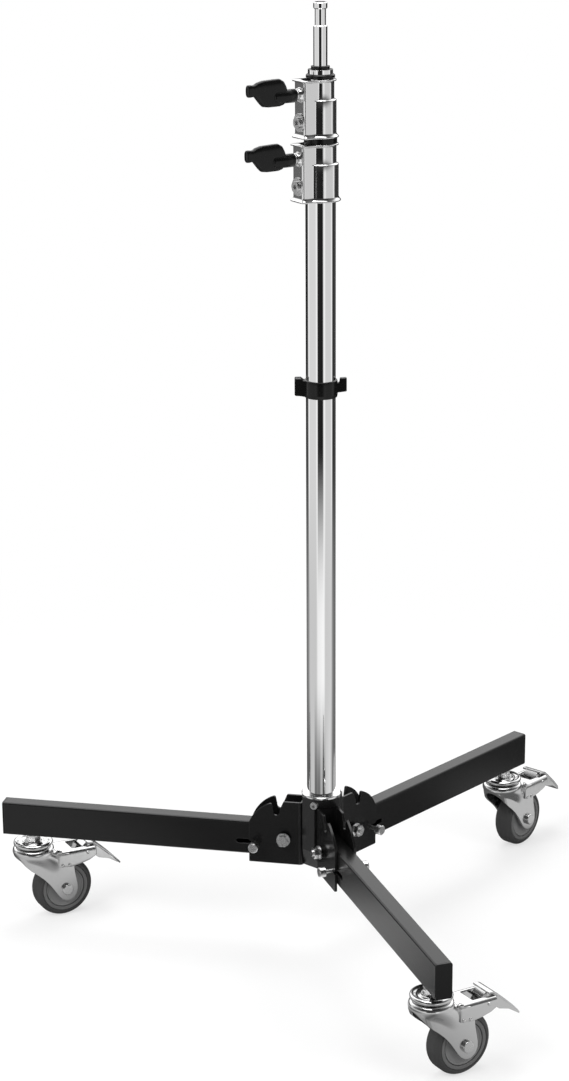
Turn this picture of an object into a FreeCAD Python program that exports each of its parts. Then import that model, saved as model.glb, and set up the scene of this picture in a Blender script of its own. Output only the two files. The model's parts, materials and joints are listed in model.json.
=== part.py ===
"""Wheeled light stand: a three-section chrome column on three folding legs with braked casters.

Millimetres, +Z up. The origin is on the column's axis at floor level. The front leg lies along -Y,
and the right and left legs follow at a third of a turn each. Every piece is made in the stand's own
height, at heading zero, and is then turned to its leg, its caster or its knob.
"""
import FreeCAD, Part
import math
import os

import Sketcher
from FreeCAD import Placement, Rotation, Vector

os.makedirs("parts", exist_ok=True)
document = FreeCAD.newDocument("wheeled_light_stand")
sheet = document.addObject("Spreadsheet::Sheet", "Sizes")


# A size is a number together with the words that find it in the sheet.
class Size:
    """A length that keeps both its value and the expression that gives it."""

    def __init__(self, number, words):
        self.number = float(number)
        self.words = words

    def joined(self, sign, other, number):
        return Size(number, "(%s %s %s)" % (self.words, sign, as_size(other).words))

    def __add__(self, other):
        return self.joined("+", other, self.number + as_size(other).number)

    def __radd__(self, other):
        return as_size(other) + self

    def __sub__(self, other):
        return self.joined("-", other, self.number - as_size(other).number)

    def __rsub__(self, other):
        return as_size(other) - self

    def __mul__(self, other):
        return self.joined("*", other, self.number * as_size(other).number)

    def __rmul__(self, other):
        return as_size(other) * self

    def __truediv__(self, other):
        return self.joined("/", other, self.number / as_size(other).number)

    def __neg__(self):
        return as_size(0) - self


def as_size(value):
    return value if isinstance(value, Size) else Size(value, repr(float(value)))


def size(name, number):
    """Writes one driving dimension into the sheet and gives it back."""
    size.row += 1
    sheet.set("A%d" % size.row, name)
    sheet.set("B%d" % size.row, str(number))
    sheet.setAlias("B%d" % size.row, name)
    return Size(number, "Sizes.%s" % name)


size.row = 0

# Headings, in degrees: the three legs, how their casters trail, and the column's knobs and clip.
LEG_HEADINGS = {"front": -90.0, "right": 30.0, "left": 150.0}
CASTER_HEADINGS = {"front": 14.0, "right": 31.0, "left": 10.0}
knob_heading = 193.0
clip_heading = 161.0
hub_screw_heading = 231.0
spring_turns = 8
flange_shares = ((0.09, 0.50), (0.18, 0.57), (0.55, 0.69), (0.79, 0.86))
hexagon_sides = 6
hexagon_share = math.sqrt(3.0)
eye_share = 0.97

# Allowances shared by the whole stand.
overrun = size("overrun", 4.0)
sliding_gap = size("sliding_gap", 0.1)
turning_gap = size("turning_gap", 0.05)
rest_gap = size("rest_gap", 0.5)

# Wheels and casters.
wheel_diameter = size("wheel_diameter", 76.0)
tyre_width = size("tyre_width", 26.0)
tyre_shoulder = size("tyre_shoulder", 6.5)
core_diameter = size("core_diameter", 61.0)
core_lip = size("core_lip", 4.5)
core_face_inset = size("core_face_inset", 1.6)
core_groove = size("core_groove", 0.9)
core_dish_depth = size("core_dish_depth", 3.0)
core_dish_edge = size("core_dish_edge", 4.0)
core_boss_diameter = size("core_boss_diameter", 20.0)
core_side_play = size("core_side_play", 0.4)
axle_diameter = size("axle_diameter", 8.0)
axle_cap_diameter = size("axle_cap_diameter", 14.5)
axle_cap_height = size("axle_cap_height", 4.5)
axle_cap_round = size("axle_cap_round", 1.5)
caster_trail = size("caster_trail", 37.0)
fork_rise = size("fork_rise", 62.5)
fork_gap = size("fork_gap", 29.0)
fork_plate = size("fork_plate", 3.0)
fork_eye_radius = size("fork_eye_radius", 14.5)
fork_crown_depth = size("fork_crown_depth", 7.0)
dish_diameter = size("dish_diameter", 51.0)
dish_height = size("dish_height", 7.0)
dish_round = size("dish_round", 3.0)
race_diameter = size("race_diameter", 50.0)
race_height = size("race_height", 6.5)
race_round = size("race_round", 2.5)
race_recess_diameter = size("race_recess_diameter", 30.0)
race_recess_depth = size("race_recess_depth", 2.0)
king_pin_diameter = size("king_pin_diameter", 12.0)
king_head_diameter = size("king_head_diameter", 18.0)
king_head_height = size("king_head_height", 3.0)
stem_diameter = size("stem_diameter", 10.0)
stem_nut_flats = size("stem_nut_flats", 17.0)
stem_nut_height = size("stem_nut_height", 8.5)
inner_nut_flats = size("inner_nut_flats", 15.0)
inner_nut_height = size("inner_nut_height", 7.0)
stem_spare = size("stem_spare", 2.0)

# Brake housing and pedal.
housing_sheet = size("housing_sheet", 2.0)
housing_bend = size("housing_bend", 4.0)
housing_start = size("housing_start", 27.0)
housing_length = size("housing_length", 50.0)
housing_drop = size("housing_drop", 10.5)
housing_skirt = size("housing_skirt", 19.0)
housing_end_skirt = size("housing_end_skirt", 9.0)
window_end_inset = size("window_end_inset", 2.5)
window_length = size("window_length", 26.5)
window_width = size("window_width", 25.0)
rivet_diameter = size("rivet_diameter", 4.6)
rivet_height = size("rivet_height", 1.1)
rivet_inset = size("rivet_inset", 4.0)
rivet_pitch = size("rivet_pitch", 9.5)
rivet_rise = size("rivet_rise", 3.2)
pedal_width = size("pedal_width", 30.0)
pedal_sheet = size("pedal_sheet", 2.2)
pedal_flange = size("pedal_flange", 1.5)
pedal_overhang = size("pedal_overhang", 37.0)
pedal_rise = size("pedal_rise", 1.8)
pedal_drop = size("pedal_drop", 35.0)
pedal_root_inset = size("pedal_root_inset", 8.5)
pedal_pin_inset = size("pedal_pin_inset", 11.0)
pedal_pin_drop = size("pedal_pin_drop", 7.0)
pedal_pin_diameter = size("pedal_pin_diameter", 4.0)
pedal_arm_width = size("pedal_arm_width", 18.0)
pedal_arm_behind = size("pedal_arm_behind", 3.0)
pedal_arm_ahead = size("pedal_arm_ahead", 4.3)
pedal_heel_width = size("pedal_heel_width", 5.0)
pedal_clearance = size("pedal_clearance", 0.5)

# Legs and their hinges.
leg_width = size("leg_width", 20.5)
leg_height = size("leg_height", 43.0)
leg_wall = size("leg_wall", 1.8)
leg_corner = size("leg_corner", 2.5)
leg_reach = size("leg_reach", 407.0)
stem_inset = size("stem_inset", 36.0)
leg_heel = size("leg_heel", 10.0)
cap_thickness = size("cap_thickness", 2.5)
cap_plug_depth = size("cap_plug_depth", 12.0)
cap_plug_gap = size("cap_plug_gap", 0.15)
pivot_reach = size("pivot_reach", 44.0)
pivot_drop = size("pivot_drop", 17.0)
pivot_bolt_diameter = size("pivot_bolt_diameter", 8.0)
pivot_head_flats = size("pivot_head_flats", 13.0)
pivot_head_height = size("pivot_head_height", 6.5)
pivot_nut_height = size("pivot_nut_height", 6.5)
pivot_thread_spare = size("pivot_thread_spare", 2.0)
pivot_washer_diameter = size("pivot_washer_diameter", 17.0)
pivot_washer_height = size("pivot_washer_height", 2.0)
pivot_spacer_diameter = size("pivot_spacer_diameter", 15.0)
pivot_spacer_height = size("pivot_spacer_height", 3.85)
pin_forward = size("pin_forward", 36.0)
pin_below = size("pin_below", 9.5)
pin_diameter = size("pin_diameter", 5.0)
pin_cap_diameter = size("pin_cap_diameter", 12.3)
pin_cap_length = size("pin_cap_length", 8.0)
pin_half_length = size("pin_half_length", 31.5)
pin_cap_round = size("pin_cap_round", 0.8)
pin_slot_gap = size("pin_slot_gap", 0.3)
pin_stroke = size("pin_stroke", 21.8)
pin_slot_height = size("pin_slot_height", 6.4)
spring_diameter = size("spring_diameter", 11.0)
spring_wire = size("spring_wire", 1.4)
spring_end_gap = size("spring_end_gap", 0.3)

# Brackets and hub.
plate_radius = size("plate_radius", 48.0)
plate_thickness = size("plate_thickness", 3.0)
plate_gap = size("plate_gap", 0.4)
plate_bend = size("plate_bend", 5.0)
plate_toe = size("plate_toe", 44.4)
plate_below_leg = size("plate_below_leg", 8.4)
notch_mouth = size("notch_mouth", 12.5)
notch_floor = size("notch_floor", 8.0)
socket_wall = size("socket_wall", 3.0)
socket_rise = size("socket_rise", 41.0)
socket_floor = size("socket_floor", 9.1)
socket_rib = size("socket_rib", 7.0)
socket_foot_rib = size("socket_foot_rib", 0.5)
socket_taper_height = size("socket_taper_height", 23.4)
foot_ring_diameter = size("foot_ring_diameter", 48.0)
foot_ring_height = size("foot_ring_height", 3.0)
foot_ring_edge = size("foot_ring_edge", 1.0)
hub_screw_diameter = size("hub_screw_diameter", 6.0)
hub_screw_head_diameter = size("hub_screw_head_diameter", 9.0)
hub_screw_head_height = size("hub_screw_head_height", 5.0)
hub_screw_drop = size("hub_screw_drop", 6.5)
hub_screw_inset = size("hub_screw_inset", 1.5)
hub_screw_key = size("hub_screw_key", 5.0)
key_depth = size("key_depth", 3.0)

# Column tubes and glides.
lower_tube_diameter = size("lower_tube_diameter", 35.0)
middle_tube_diameter = size("middle_tube_diameter", 30.0)
top_tube_diameter = size("top_tube_diameter", 25.0)
tube_wall = size("tube_wall", 1.5)
glide_ledge = size("glide_ledge", 5.0)
glide_sleeve = size("glide_sleeve", 20.0)
stowed_floor = size("stowed_floor", 25.0)
stowed_step = size("stowed_step", 8.0)

# Collars, knobs and clip.
lower_collar_height_above_floor = size("lower_collar_height_above_floor", 932.5)
collar_height = size("collar_height", 65.5)
collar_wall = size("collar_wall", 3.2)
collar_step_height = size("collar_step_height", 42.8)
collar_step = size("collar_step", 2.5)
collar_seat_height = size("collar_seat_height", 40.0)
collar_nose = size("collar_nose", 9.6)
collar_nose_width = size("collar_nose_width", 24.0)
collar_nose_round = size("collar_nose_round", 2.0)
collar_lip = size("collar_lip", 2.4)
collar_lip_height = size("collar_lip_height", 1.8)
collar_flare = size("collar_flare", 2.6)
collar_flare_height = size("collar_flare_height", 4.8)
collar_ring_height = size("collar_ring_height", 6.5)
collar_ring_margin = size("collar_ring_margin", 4.0)
knob_height = size("knob_height", 49.0)
knob_boss_diameter = size("knob_boss_diameter", 15.0)
knob_boss_length = size("knob_boss_length", 4.0)
knob_screw_diameter = size("knob_screw_diameter", 8.0)
knob_nut_diameter = size("knob_nut_diameter", 12.5)
knob_nut_height = size("knob_nut_height", 2.4)
knob_barrel_diameter = size("knob_barrel_diameter", 15.4)
knob_barrel_length = size("knob_barrel_length", 30.0)
knob_screw_grip = size("knob_screw_grip", 14.0)
wing_thickness = size("wing_thickness", 10.0)
wing_round = size("wing_round", 2.0)
wing_start = size("wing_start", 12.0)
wing_length = size("wing_length", 42.0)
wing_rise = size("wing_rise", 20.0)
wing_fall = size("wing_fall", 10.6)
nub_length = size("nub_length", 8.5)
clamp_height = size("clamp_height", 18.0)
clamp_washer_diameter = size("clamp_washer_diameter", 21.0)
clamp_washer_height = size("clamp_washer_height", 1.6)
clamp_head_diameter = size("clamp_head_diameter", 13.0)
clamp_head_height = size("clamp_head_height", 3.2)
clamp_bolt_diameter = size("clamp_bolt_diameter", 6.0)
clamp_key = size("clamp_key", 6.0)
clip_foot = size("clip_foot", 701.0)
clip_height = size("clip_height", 22.0)
clip_wall = size("clip_wall", 2.1)
clip_block_reach = size("clip_block_reach", 30.7)
clip_block_depth = size("clip_block_depth", 13.0)
clip_tab_reach = size("clip_tab_reach", 30.5)
clip_tab_depth = size("clip_tab_depth", 7.0)
clip_tab_height = size("clip_tab_height", 17.0)
clip_tab_rise = size("clip_tab_rise", 5.0)
clip_slot = size("clip_slot", 2.0)

# Stud and its seat.
cap_flange_diameter = size("cap_flange_diameter", 33.2)
cap_flange_height = size("cap_flange_height", 5.3)
cap_flange_edge = size("cap_flange_edge", 1.4)
cap_plug_length = size("cap_plug_length", 18.0)
stud_flange_diameter = size("stud_flange_diameter", 28.6)
stud_flange_height = size("stud_flange_height", 5.0)
stud_washer_diameter = size("stud_washer_diameter", 21.4)
stud_washer_height = size("stud_washer_height", 3.6)
stud_groove_diameter = size("stud_groove_diameter", 15.2)
stud_groove_spare = size("stud_groove_spare", 0.4)
stud_diameter = size("stud_diameter", 16.0)
stud_pin_length = size("stud_pin_length", 45.5)
stud_neck_diameter = size("stud_neck_diameter", 12.6)
stud_neck_length = size("stud_neck_length", 18.0)
stud_head_length = size("stud_head_length", 7.8)
stud_edge = size("stud_edge", 1.2)
stud_root_diameter = size("stud_root_diameter", 10.0)
stud_root_length = size("stud_root_length", 24.0)

# Heights and radii that follow from the driving sizes.
axle_height = wheel_diameter / 2
dish_top = axle_height + fork_rise
race_foot = dish_top + rest_gap
race_top = race_foot + race_height
leg_foot = race_top + stem_nut_height
leg_top = leg_foot + leg_height
pivot_height = leg_top - pivot_drop
pin_reach = pivot_reach + pin_forward
stem_reach = leg_reach - stem_inset
pin_height = pivot_height - pin_below
plate_foot = leg_foot - plate_below_leg
plate_inner = leg_width / 2 + plate_gap
plate_outer = plate_inner + plate_thickness
socket_flats = lower_tube_diameter + 2 * socket_wall
socket_top = leg_top + socket_rise
hub_screw_seat = lower_tube_diameter / 2 + socket_rib - hub_screw_inset
socket_circle = socket_flats / hexagon_share
lower_tube_foot = plate_foot + socket_floor
lower_collar_foot = lower_collar_height_above_floor
lower_collar_top = lower_collar_foot + collar_height
upper_collar_foot = lower_collar_top + collar_ring_height + rest_gap
upper_collar_top = upper_collar_foot + collar_height
middle_tube_foot = lower_tube_foot + stowed_floor + glide_ledge
top_tube_foot = middle_tube_foot + stowed_step + glide_ledge
cap_foot = upper_collar_top + rest_gap
cap_top = cap_foot + cap_flange_height
stud_flange_top = cap_top + stud_flange_height
pin_top = stud_flange_top + stud_pin_length + stud_washer_height
neck_top = pin_top + stud_neck_length
stud_top = neck_top + stud_head_length
fork_half = fork_gap / 2 + fork_plate
housing_top = dish_top - housing_drop
housing_half = fork_half + housing_sheet
pedal_pin_height = housing_top - pedal_pin_drop
housing_end = housing_start + housing_length
window_start = housing_end - window_end_inset - window_length
pedal_pin_reach = housing_end - pedal_pin_inset
pedal_root = housing_end - pedal_root_inset
pedal_reach = housing_end + pedal_overhang

# Turns that lay a piece made along Z on another axis.
UPRIGHT = Rotation()
ALONG_X = Rotation(Vector(0, 0, 1), Vector(0, -1, 0), Vector(1, 0, 0))
ALONG_Y = Rotation(Vector(1, 0, 0), -90)
QUARTER_TURN = Rotation(Vector(0, 0, 1), 90)
SIDEWAYS = {"Z": UPRIGHT, "X": ALONG_X, "Y": ALONG_Y}

nodes = []
origin = (as_size(0), as_size(0), as_size(0))


def bind(item, name, value):
    """Ties one property of a document object to a size."""
    item.setExpression(name, as_size(value).words)


def locate(item, at, turn):
    """Gives an object its place; each coordinate is tied to the sizes."""
    at = [as_size(value) for value in at]
    item.Placement = Placement(Vector(*[value.number for value in at]), turn)
    for axis, value in zip("xyz", at):
        bind(item, "Placement.Base." + axis, value)


def place(item, heading=0.0, at=origin, seat=origin, turn=UPRIGHT):
    """Turns a piece about Z to its heading, with 'at' in the turned axes and 'seat' in the stand's."""
    c, s = math.cos(math.radians(heading)), math.sin(math.radians(heading))
    x, y, z = [as_size(value) for value in at]
    spot = (seat[0] + x * c - y * s, seat[1] + x * s + y * c, seat[2] + z)
    locate(item, spot, Rotation(Vector(0, 0, 1), heading).multiply(turn))


def node(item, label):
    """Names a finished piece and puts it on the list of files to write."""
    item.Label = label
    nodes.append(item)
    return item


def new_body(name):
    return document.addObject("PartDesign::Body", name + "_body")


def origin_plane(body, role):
    return [item for item in body.Origin.OriginFeatures if item.Role == role][0]


def drawing(body, plane, corners, lift=None):
    """A closed outline on an origin plane. A corner is (x, y), or (x, y, radius) where an arc leads on."""
    sketch = body.newObject("Sketcher::SketchObject", "Outline")
    sketch.AttachmentSupport = [(origin_plane(body, plane), "")]
    sketch.MapMode = "FlatFace"
    if lift is not None:
        bind(sketch, "AttachmentOffset.Base.z", lift)
    places = [tuple(as_size(value) for value in corner[:2]) for corner in corners]
    points = [Vector(x.number, y.number, 0) for x, y in places]
    count = len(points)
    for index, corner in enumerate(corners):
        start, end = points[index], points[(index + 1) % count]
        if len(corner) == 2:
            sketch.addGeometry(Part.LineSegment(start, end), False)
        else:
            sketch.addGeometry(arc_between(start, end, as_size(corner[2]).number), False)
    for index in range(count):
        last, first = 2, 1
        if len(corners[index]) == 3 and as_size(corners[index][2]).number < 0:
            last = 1
        following = (index + 1) % count
        if len(corners[following]) == 3 and as_size(corners[following][2]).number < 0:
            first = 2
        sketch.addConstraint(Sketcher.Constraint("Coincident", index, last, following, first))
    for index, corner in enumerate(corners):
        first = 2 if len(corner) == 3 and as_size(corner[2]).number < 0 else 1
        for kind, value in zip(("DistanceX", "DistanceY"), places[index]):
            number = sketch.addConstraint(Sketcher.Constraint(kind, -1, 1, index, first, value.number))
            bind(sketch, "Constraints[%d]" % number, value)
        if len(corner) == 3:
            radius = as_size(corner[2])
            radius = radius if radius.number > 0 else -radius
            number = sketch.addConstraint(Sketcher.Constraint("Radius", index, radius.number))
            bind(sketch, "Constraints[%d]" % number, radius)
    return sketch


def arc_between(start, end, radius):
    """The arc from start to end: a positive radius turns left all the way, a negative one right."""
    half = (end - start) * 0.5
    side = Vector(-half.y, half.x, 0).normalize()
    reach = math.sqrt(max(radius * radius - half.Length * half.Length, 0.0))
    if radius > 0:
        centre = start + half + side * reach
        first, last = start, end
    else:
        centre = start + half - side * reach
        first, last = end, start
    angle = lambda point: math.atan2(point.y - centre.y, point.x - centre.x)
    circle = Part.Circle(centre, Vector(0, 0, 1), abs(radius))
    return Part.ArcOfCircle(circle, angle(first), angle(last))


def padded(body, sketch, length, taper=None):
    pad = body.newObject("PartDesign::Pad", "Pad")
    pad.Profile = sketch
    bind(pad, "Length", length)
    if taper is not None:
        pad.TaperAngle = taper
    sketch.Visibility = False
    return pad


def revolved(body, corners):
    """A ring or a shaft about Z from the (radius, height) corners of its half section."""
    sketch = drawing(body, "XZ_Plane", corners)
    turned_form = body.newObject("PartDesign::Revolution", "Revolution")
    turned_form.Profile = sketch
    turned_form.ReferenceAxis = (sketch, ["V_Axis"])
    turned_form.Angle = 360.0
    return turned_form


def turned(label, corners):
    body = new_body(label)
    revolved(body, corners)
    return node(body, label)


def cylinder(body, radius, at, length, along="Z", cut=False):
    """A round boss or, with cut, a round hole that starts at a point and runs along an axis."""
    kind = "PartDesign::SubtractiveCylinder" if cut else "PartDesign::AdditiveCylinder"
    form = body.newObject(kind, "Hole" if cut else "Boss")
    bind(form, "Radius", radius)
    bind(form, "Height", length)
    locate(form, at, SIDEWAYS[along])
    return form


def block(body, at, extent, cut=False):
    """A box from its lowest corner, or with cut the pocket of that shape."""
    kind = "PartDesign::SubtractiveBox" if cut else "PartDesign::AdditiveBox"
    form = body.newObject(kind, "Recess" if cut else "Block")
    for name, value in zip(("Length", "Width", "Height"), extent):
        bind(form, name, value)
    locate(form, at, UPRIGHT)
    return form


def hexagon(body, flats, at, length, cut=False):
    """A hexagonal bar about Z, or with cut the socket of a key."""
    kind = "PartDesign::SubtractivePrism" if cut else "PartDesign::AdditivePrism"
    form = body.newObject(kind, "Hexagon")
    form.Polygon = hexagon_sides
    bind(form, "Circumradius", flats / hexagon_share)
    bind(form, "Height", length)
    locate(form, at, UPRIGHT)
    return form


def softened(body, radius, chosen):
    """Rounds those edges of the last feature that the test picks."""
    document.recompute()
    base = body.Tip
    names = ["Edge%d" % (index + 1) for index, edge in enumerate(base.Shape.Edges) if chosen(edge)]
    fillet = body.newObject("PartDesign::Fillet", "Rounding")
    fillet.Base = (base, names)
    bind(fillet, "Radius", radius)
    return fillet


def combined(kind, label, first, others):
    """A Part cut or common of two document objects, one after another."""
    for index, other in enumerate(others):
        result = document.addObject("Part::" + kind, "%s_%s_%d" % (label, kind.lower(), index))
        result.Base = first
        result.Tool = other
        first = result
    return first


def ring(inner, outer, foot, top):
    return [(inner, foot), (outer, foot), (outer, top), (inner, top)]


def rounded_rectangle(half_width, low, high, corner):
    """Corners of an upright rectangle about the vertical axis, each corner an arc."""
    return [
        (-half_width, high - corner, corner),
        (corner - half_width, high),
        (half_width - corner, high, -corner),
        (half_width, high - corner),
        (half_width, low + corner, -corner),
        (half_width - corner, low),
        (corner - half_width, low, -corner),
        (-half_width, low + corner),
    ]


# The rounded rectangle is drawn clockwise, so every one of its arcs turns right.
def leg_outline(shrink=0):
    corners = rounded_rectangle(leg_width / 2 - shrink, leg_foot + shrink, leg_top - shrink, leg_corner)
    return [corner if len(corner) == 2 else (corner[0], corner[1], -leg_corner) for corner in corners]


# Base: hub, foot ring and its screw.
def socket_outline(rib):
    """The hub from above: a flat face towards each leg, and ribs of a given wall between the legs."""
    face = socket_flats / 2
    half = (lower_tube_diameter / 2 + rib - face / 2) / math.sin(math.radians(60))
    corners = []
    for heading in LEG_HEADINGS.values():
        c, s = round(math.cos(math.radians(heading)), 9), round(math.sin(math.radians(heading)), 9)
        for across in (-half, half):
            corners.append((face * c - across * s, face * s + across * c))
    return corners


def hub_socket():
    waist = plate_foot + socket_taper_height
    body = new_body("hub_socket")
    foot = drawing(body, "XY_Plane", socket_outline(socket_foot_rib), lift=plate_foot)
    middle = drawing(body, "XY_Plane", socket_outline(socket_rib), lift=waist)
    skirt = body.newObject("PartDesign::AdditiveLoft", "Skirt")
    skirt.Profile = foot
    skirt.Sections = [middle]
    skirt.Ruled = True
    padded(body, drawing(body, "XY_Plane", socket_outline(socket_rib), lift=waist), socket_top - waist)
    cylinder(body, lower_tube_diameter / 2, (0, 0, lower_tube_foot), socket_top, cut=True)
    height = socket_top - hub_screw_drop
    drill = cylinder(body, hub_screw_diameter / 2, origin, socket_flats, along="X", cut=True)
    place(drill, hub_screw_heading, (0, 0, height), turn=ALONG_X)
    flat = cylinder(body, hub_screw_head_diameter / 2, origin, socket_flats, along="X", cut=True)
    place(flat, hub_screw_heading, (hub_screw_seat, 0, height), turn=ALONG_X)
    node(body, "hub_socket")


def foot_ring():
    inner = lower_tube_diameter / 2
    outer = foot_ring_diameter / 2
    top = socket_top + foot_ring_height
    corners = [
        (inner, socket_top),
        (outer, socket_top),
        (outer, top - foot_ring_edge),
        (outer - foot_ring_edge, top),
        (inner, top),
    ]
    turned("foot_ring", corners)


def hub_screw():
    start = lower_tube_diameter / 2
    seat = hub_screw_seat
    top = seat + hub_screw_head_height
    shank, head = hub_screw_diameter / 2, hub_screw_head_diameter / 2
    body = new_body("hub_screw")
    revolved(body, [(0, start), (shank, start), (shank, seat), (head, seat), (head, top), (0, top)])
    hexagon(body, hub_screw_key, (0, 0, top - key_depth), key_depth + overrun, cut=True)
    place(body, hub_screw_heading, (0, 0, socket_top - hub_screw_drop), turn=ALONG_X)
    node(body, "hub_screw")


# One folded bracket: a U of sheet cut to its side outline, then slotted for the lock pin.
def channel_body():
    """The folded U seen from above, as tall as the highest point of its plates."""
    web = socket_flats / 2
    far = pivot_reach + plate_radius + overrun
    bend_in = plate_bend - plate_thickness
    body = new_body("channel")
    corners = [
        (web + plate_bend, -plate_outer),
        (far, -plate_outer),
        (far, -plate_inner),
        (web + plate_bend, -plate_inner, -bend_in),
        (web + plate_thickness, bend_in - plate_inner),
        (web + plate_thickness, plate_inner - bend_in, -bend_in),
        (web + plate_bend, plate_inner),
        (far, plate_inner),
        (far, plate_outer),
        (web + plate_bend, plate_outer, plate_bend),
        (web, plate_outer - plate_bend),
        (web, plate_bend - plate_outer, plate_bend),
    ]
    sketch = drawing(body, "XY_Plane", corners, lift=plate_foot)
    padded(body, sketch, pivot_height + plate_radius - plate_foot)
    return body


def side_outline_body():
    """The plates' side outline: a disc about the pivot, level towards the hub, with a foot under the leg."""
    start = socket_flats / 2 - overrun
    body = new_body("side_outline")
    width = 2 * plate_outer + 2 * overrun
    cylinder(body, plate_radius, (pivot_reach, -width / 2, pivot_height), width, along="Y")
    block(body, (start, -width / 2, plate_foot), (plate_toe + pivot_reach - start, width, pivot_height - plate_foot))
    block(body, (start, -width / 2, pivot_height), (pivot_reach - start, width, plate_radius))
    return body


def notch_body():
    """A tapered notch, opened upwards where the lock pin lies once the leg is folded."""
    orbit = math.degrees(math.atan2(pin_forward.number, pin_below.number))
    radius = pin_orbit()
    body = new_body("notch")
    width = 2 * plate_outer + 2 * overrun
    floor = notch_floor / 2
    mouth = notch_mouth / 2
    top = plate_radius + overrun
    corners = [(-floor, radius), (floor, radius), (mouth, top), (-mouth, top)]
    padded(body, drawing(body, "XZ_Plane", corners, lift=-width / 2), width)
    cylinder(body, floor, (0, -width / 2, radius), width, along="Y")
    locate(body, (pivot_reach, 0, pivot_height), Rotation(Vector(0, 1, 0), 90 - orbit))
    return body


def pin_orbit():
    """How far the lock pin lies from the pivot, as a size."""
    straight = math.hypot(pin_forward.number, pin_below.number)
    return pin_forward * (straight / pin_forward.number)


def guide_slot(name):
    """The arc that the lock pin follows through both plates while the leg folds."""
    half = pin_diameter / 2 + pin_slot_gap
    below = math.degrees(math.atan2(pin_below.number, pin_forward.number))
    spare = math.degrees(half.number / pin_orbit().number)
    width = 2 * plate_outer + 2 * overrun
    sector = document.addObject("Part::Cylinder", name + "_sector")
    bind(sector, "Radius", pin_orbit() + half)
    bind(sector, "Height", width)
    sector.Angle = 90.0 + spare
    locate(sector, (pivot_reach, width / 2, pivot_height), UPRIGHT)
    sector.Placement.Rotation = Rotation(Vector(0, 1, 0), below).multiply(Rotation(Vector(1, 0, 0), 90))
    middle = document.addObject("Part::Cylinder", name + "_middle")
    bind(middle, "Radius", pin_orbit() - half)
    bind(middle, "Height", width + 2 * overrun)
    locate(middle, (pivot_reach, -width / 2 - overrun, pivot_height), ALONG_Y)
    return combined("Cut", name, sector, [middle])


def bracket(side, heading):
    name = "bracket_" + side
    width = 2 * plate_outer + 2 * overrun
    drill = document.addObject("Part::Cylinder", name + "_drill")
    bind(drill, "Radius", pivot_bolt_diameter / 2)
    bind(drill, "Height", width)
    locate(drill, (pivot_reach, -width / 2, pivot_height), ALONG_Y)
    seat = document.addObject("Part::Cylinder", name + "_seat")
    bind(seat, "Radius", pin_diameter / 2 + pin_slot_gap)
    bind(seat, "Height", width)
    locate(seat, (pin_reach, -width / 2, pin_height), ALONG_Y)
    sheet_form = combined("Common", name, channel_body(), [side_outline_body()])
    result = combined("Cut", name, sheet_form, [notch_body(), guide_slot(name), drill, seat])
    place(result, heading)
    node(result, name)


def pivot_fasteners():
    """Three hinge bolts with their washers and lock nuts, all in one node."""
    pieces = []
    for heading in LEG_HEADINGS.values():
        seat = plate_outer + pivot_spacer_height
        washer_top = seat + pivot_washer_height
        shank = pivot_bolt_diameter / 2
        washer = pivot_washer_diameter / 2
        end = -(seat + pivot_washer_height + pivot_nut_height + pivot_thread_spare)
        bolt = new_body("pivot_bolt")
        corners = [(0, end), (shank, end), (shank, seat), (washer, seat), (washer, washer_top), (0, washer_top)]
        revolved(bolt, corners)
        hexagon(bolt, pivot_head_flats, (0, 0, washer_top), pivot_head_height)
        nut = new_body("pivot_nut")
        revolved(nut, ring(shank, washer, -washer_top, -seat))
        hexagon(nut, pivot_head_flats, (0, 0, -washer_top - pivot_nut_height), pivot_nut_height)
        cylinder(nut, shank, (0, 0, end), seat + pivot_nut_height * 2, cut=True)
        for piece in (bolt, nut):
            place(piece, heading, (pivot_reach, 0, pivot_height), turn=ALONG_Y)
            pieces.append(piece)
    group = document.addObject("Part::Compound", "pivot_fasteners_group")
    group.Links = pieces
    node(group, "pivot_fasteners")


def pivot_spacers():
    """The black rings between the plates and the washers of the hinge bolts, all in one node."""
    pieces = []
    inner, outer = pivot_bolt_diameter / 2, pivot_spacer_diameter / 2
    for heading in LEG_HEADINGS.values():
        for foot in (plate_outer, -plate_outer - pivot_spacer_height):
            spacer = new_body("pivot_spacer")
            revolved(spacer, ring(inner, outer, foot, foot + pivot_spacer_height))
            place(spacer, heading, (pivot_reach, 0, pivot_height), turn=ALONG_Y)
            pieces.append(spacer)
    group = document.addObject("Part::Compound", "pivot_spacers_group")
    group.Links = pieces
    node(group, "pivot_spacers")


# One leg with what it carries.
def leg(side, heading):
    start = pivot_reach - leg_heel
    length = leg_reach - cap_thickness - start
    body = new_body("leg")
    padded(body, drawing(body, "YZ_Plane", leg_outline(), lift=start), length)
    inner_width = leg_width - 2 * leg_wall
    inner_height = leg_height - 2 * leg_wall
    low = (start - overrun, -inner_width / 2, leg_foot + leg_wall)
    block(body, low, (length + 2 * overrun, inner_width, inner_height), cut=True)
    across = leg_width + 2 * overrun
    bore = pivot_bolt_diameter / 2 + turning_gap
    cylinder(body, bore, (pivot_reach, -across / 2, pivot_height), across, along="Y", cut=True)
    half = pin_slot_height / 2
    slot_start = pin_reach + half - pin_diameter / 2
    for reach in (slot_start, slot_start + pin_stroke):
        cylinder(body, half, (reach, -across / 2, pin_height), across, along="Y", cut=True)
    block(body, (slot_start, -across / 2, pin_height - half), (pin_stroke, across, pin_slot_height), cut=True)
    stem_hole = (stem_reach, 0, leg_foot - overrun)
    cylinder(body, stem_diameter / 2, stem_hole, overrun + leg_wall + leg_wall, cut=True)
    place(body, heading)
    node(body, "leg_" + side)


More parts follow.
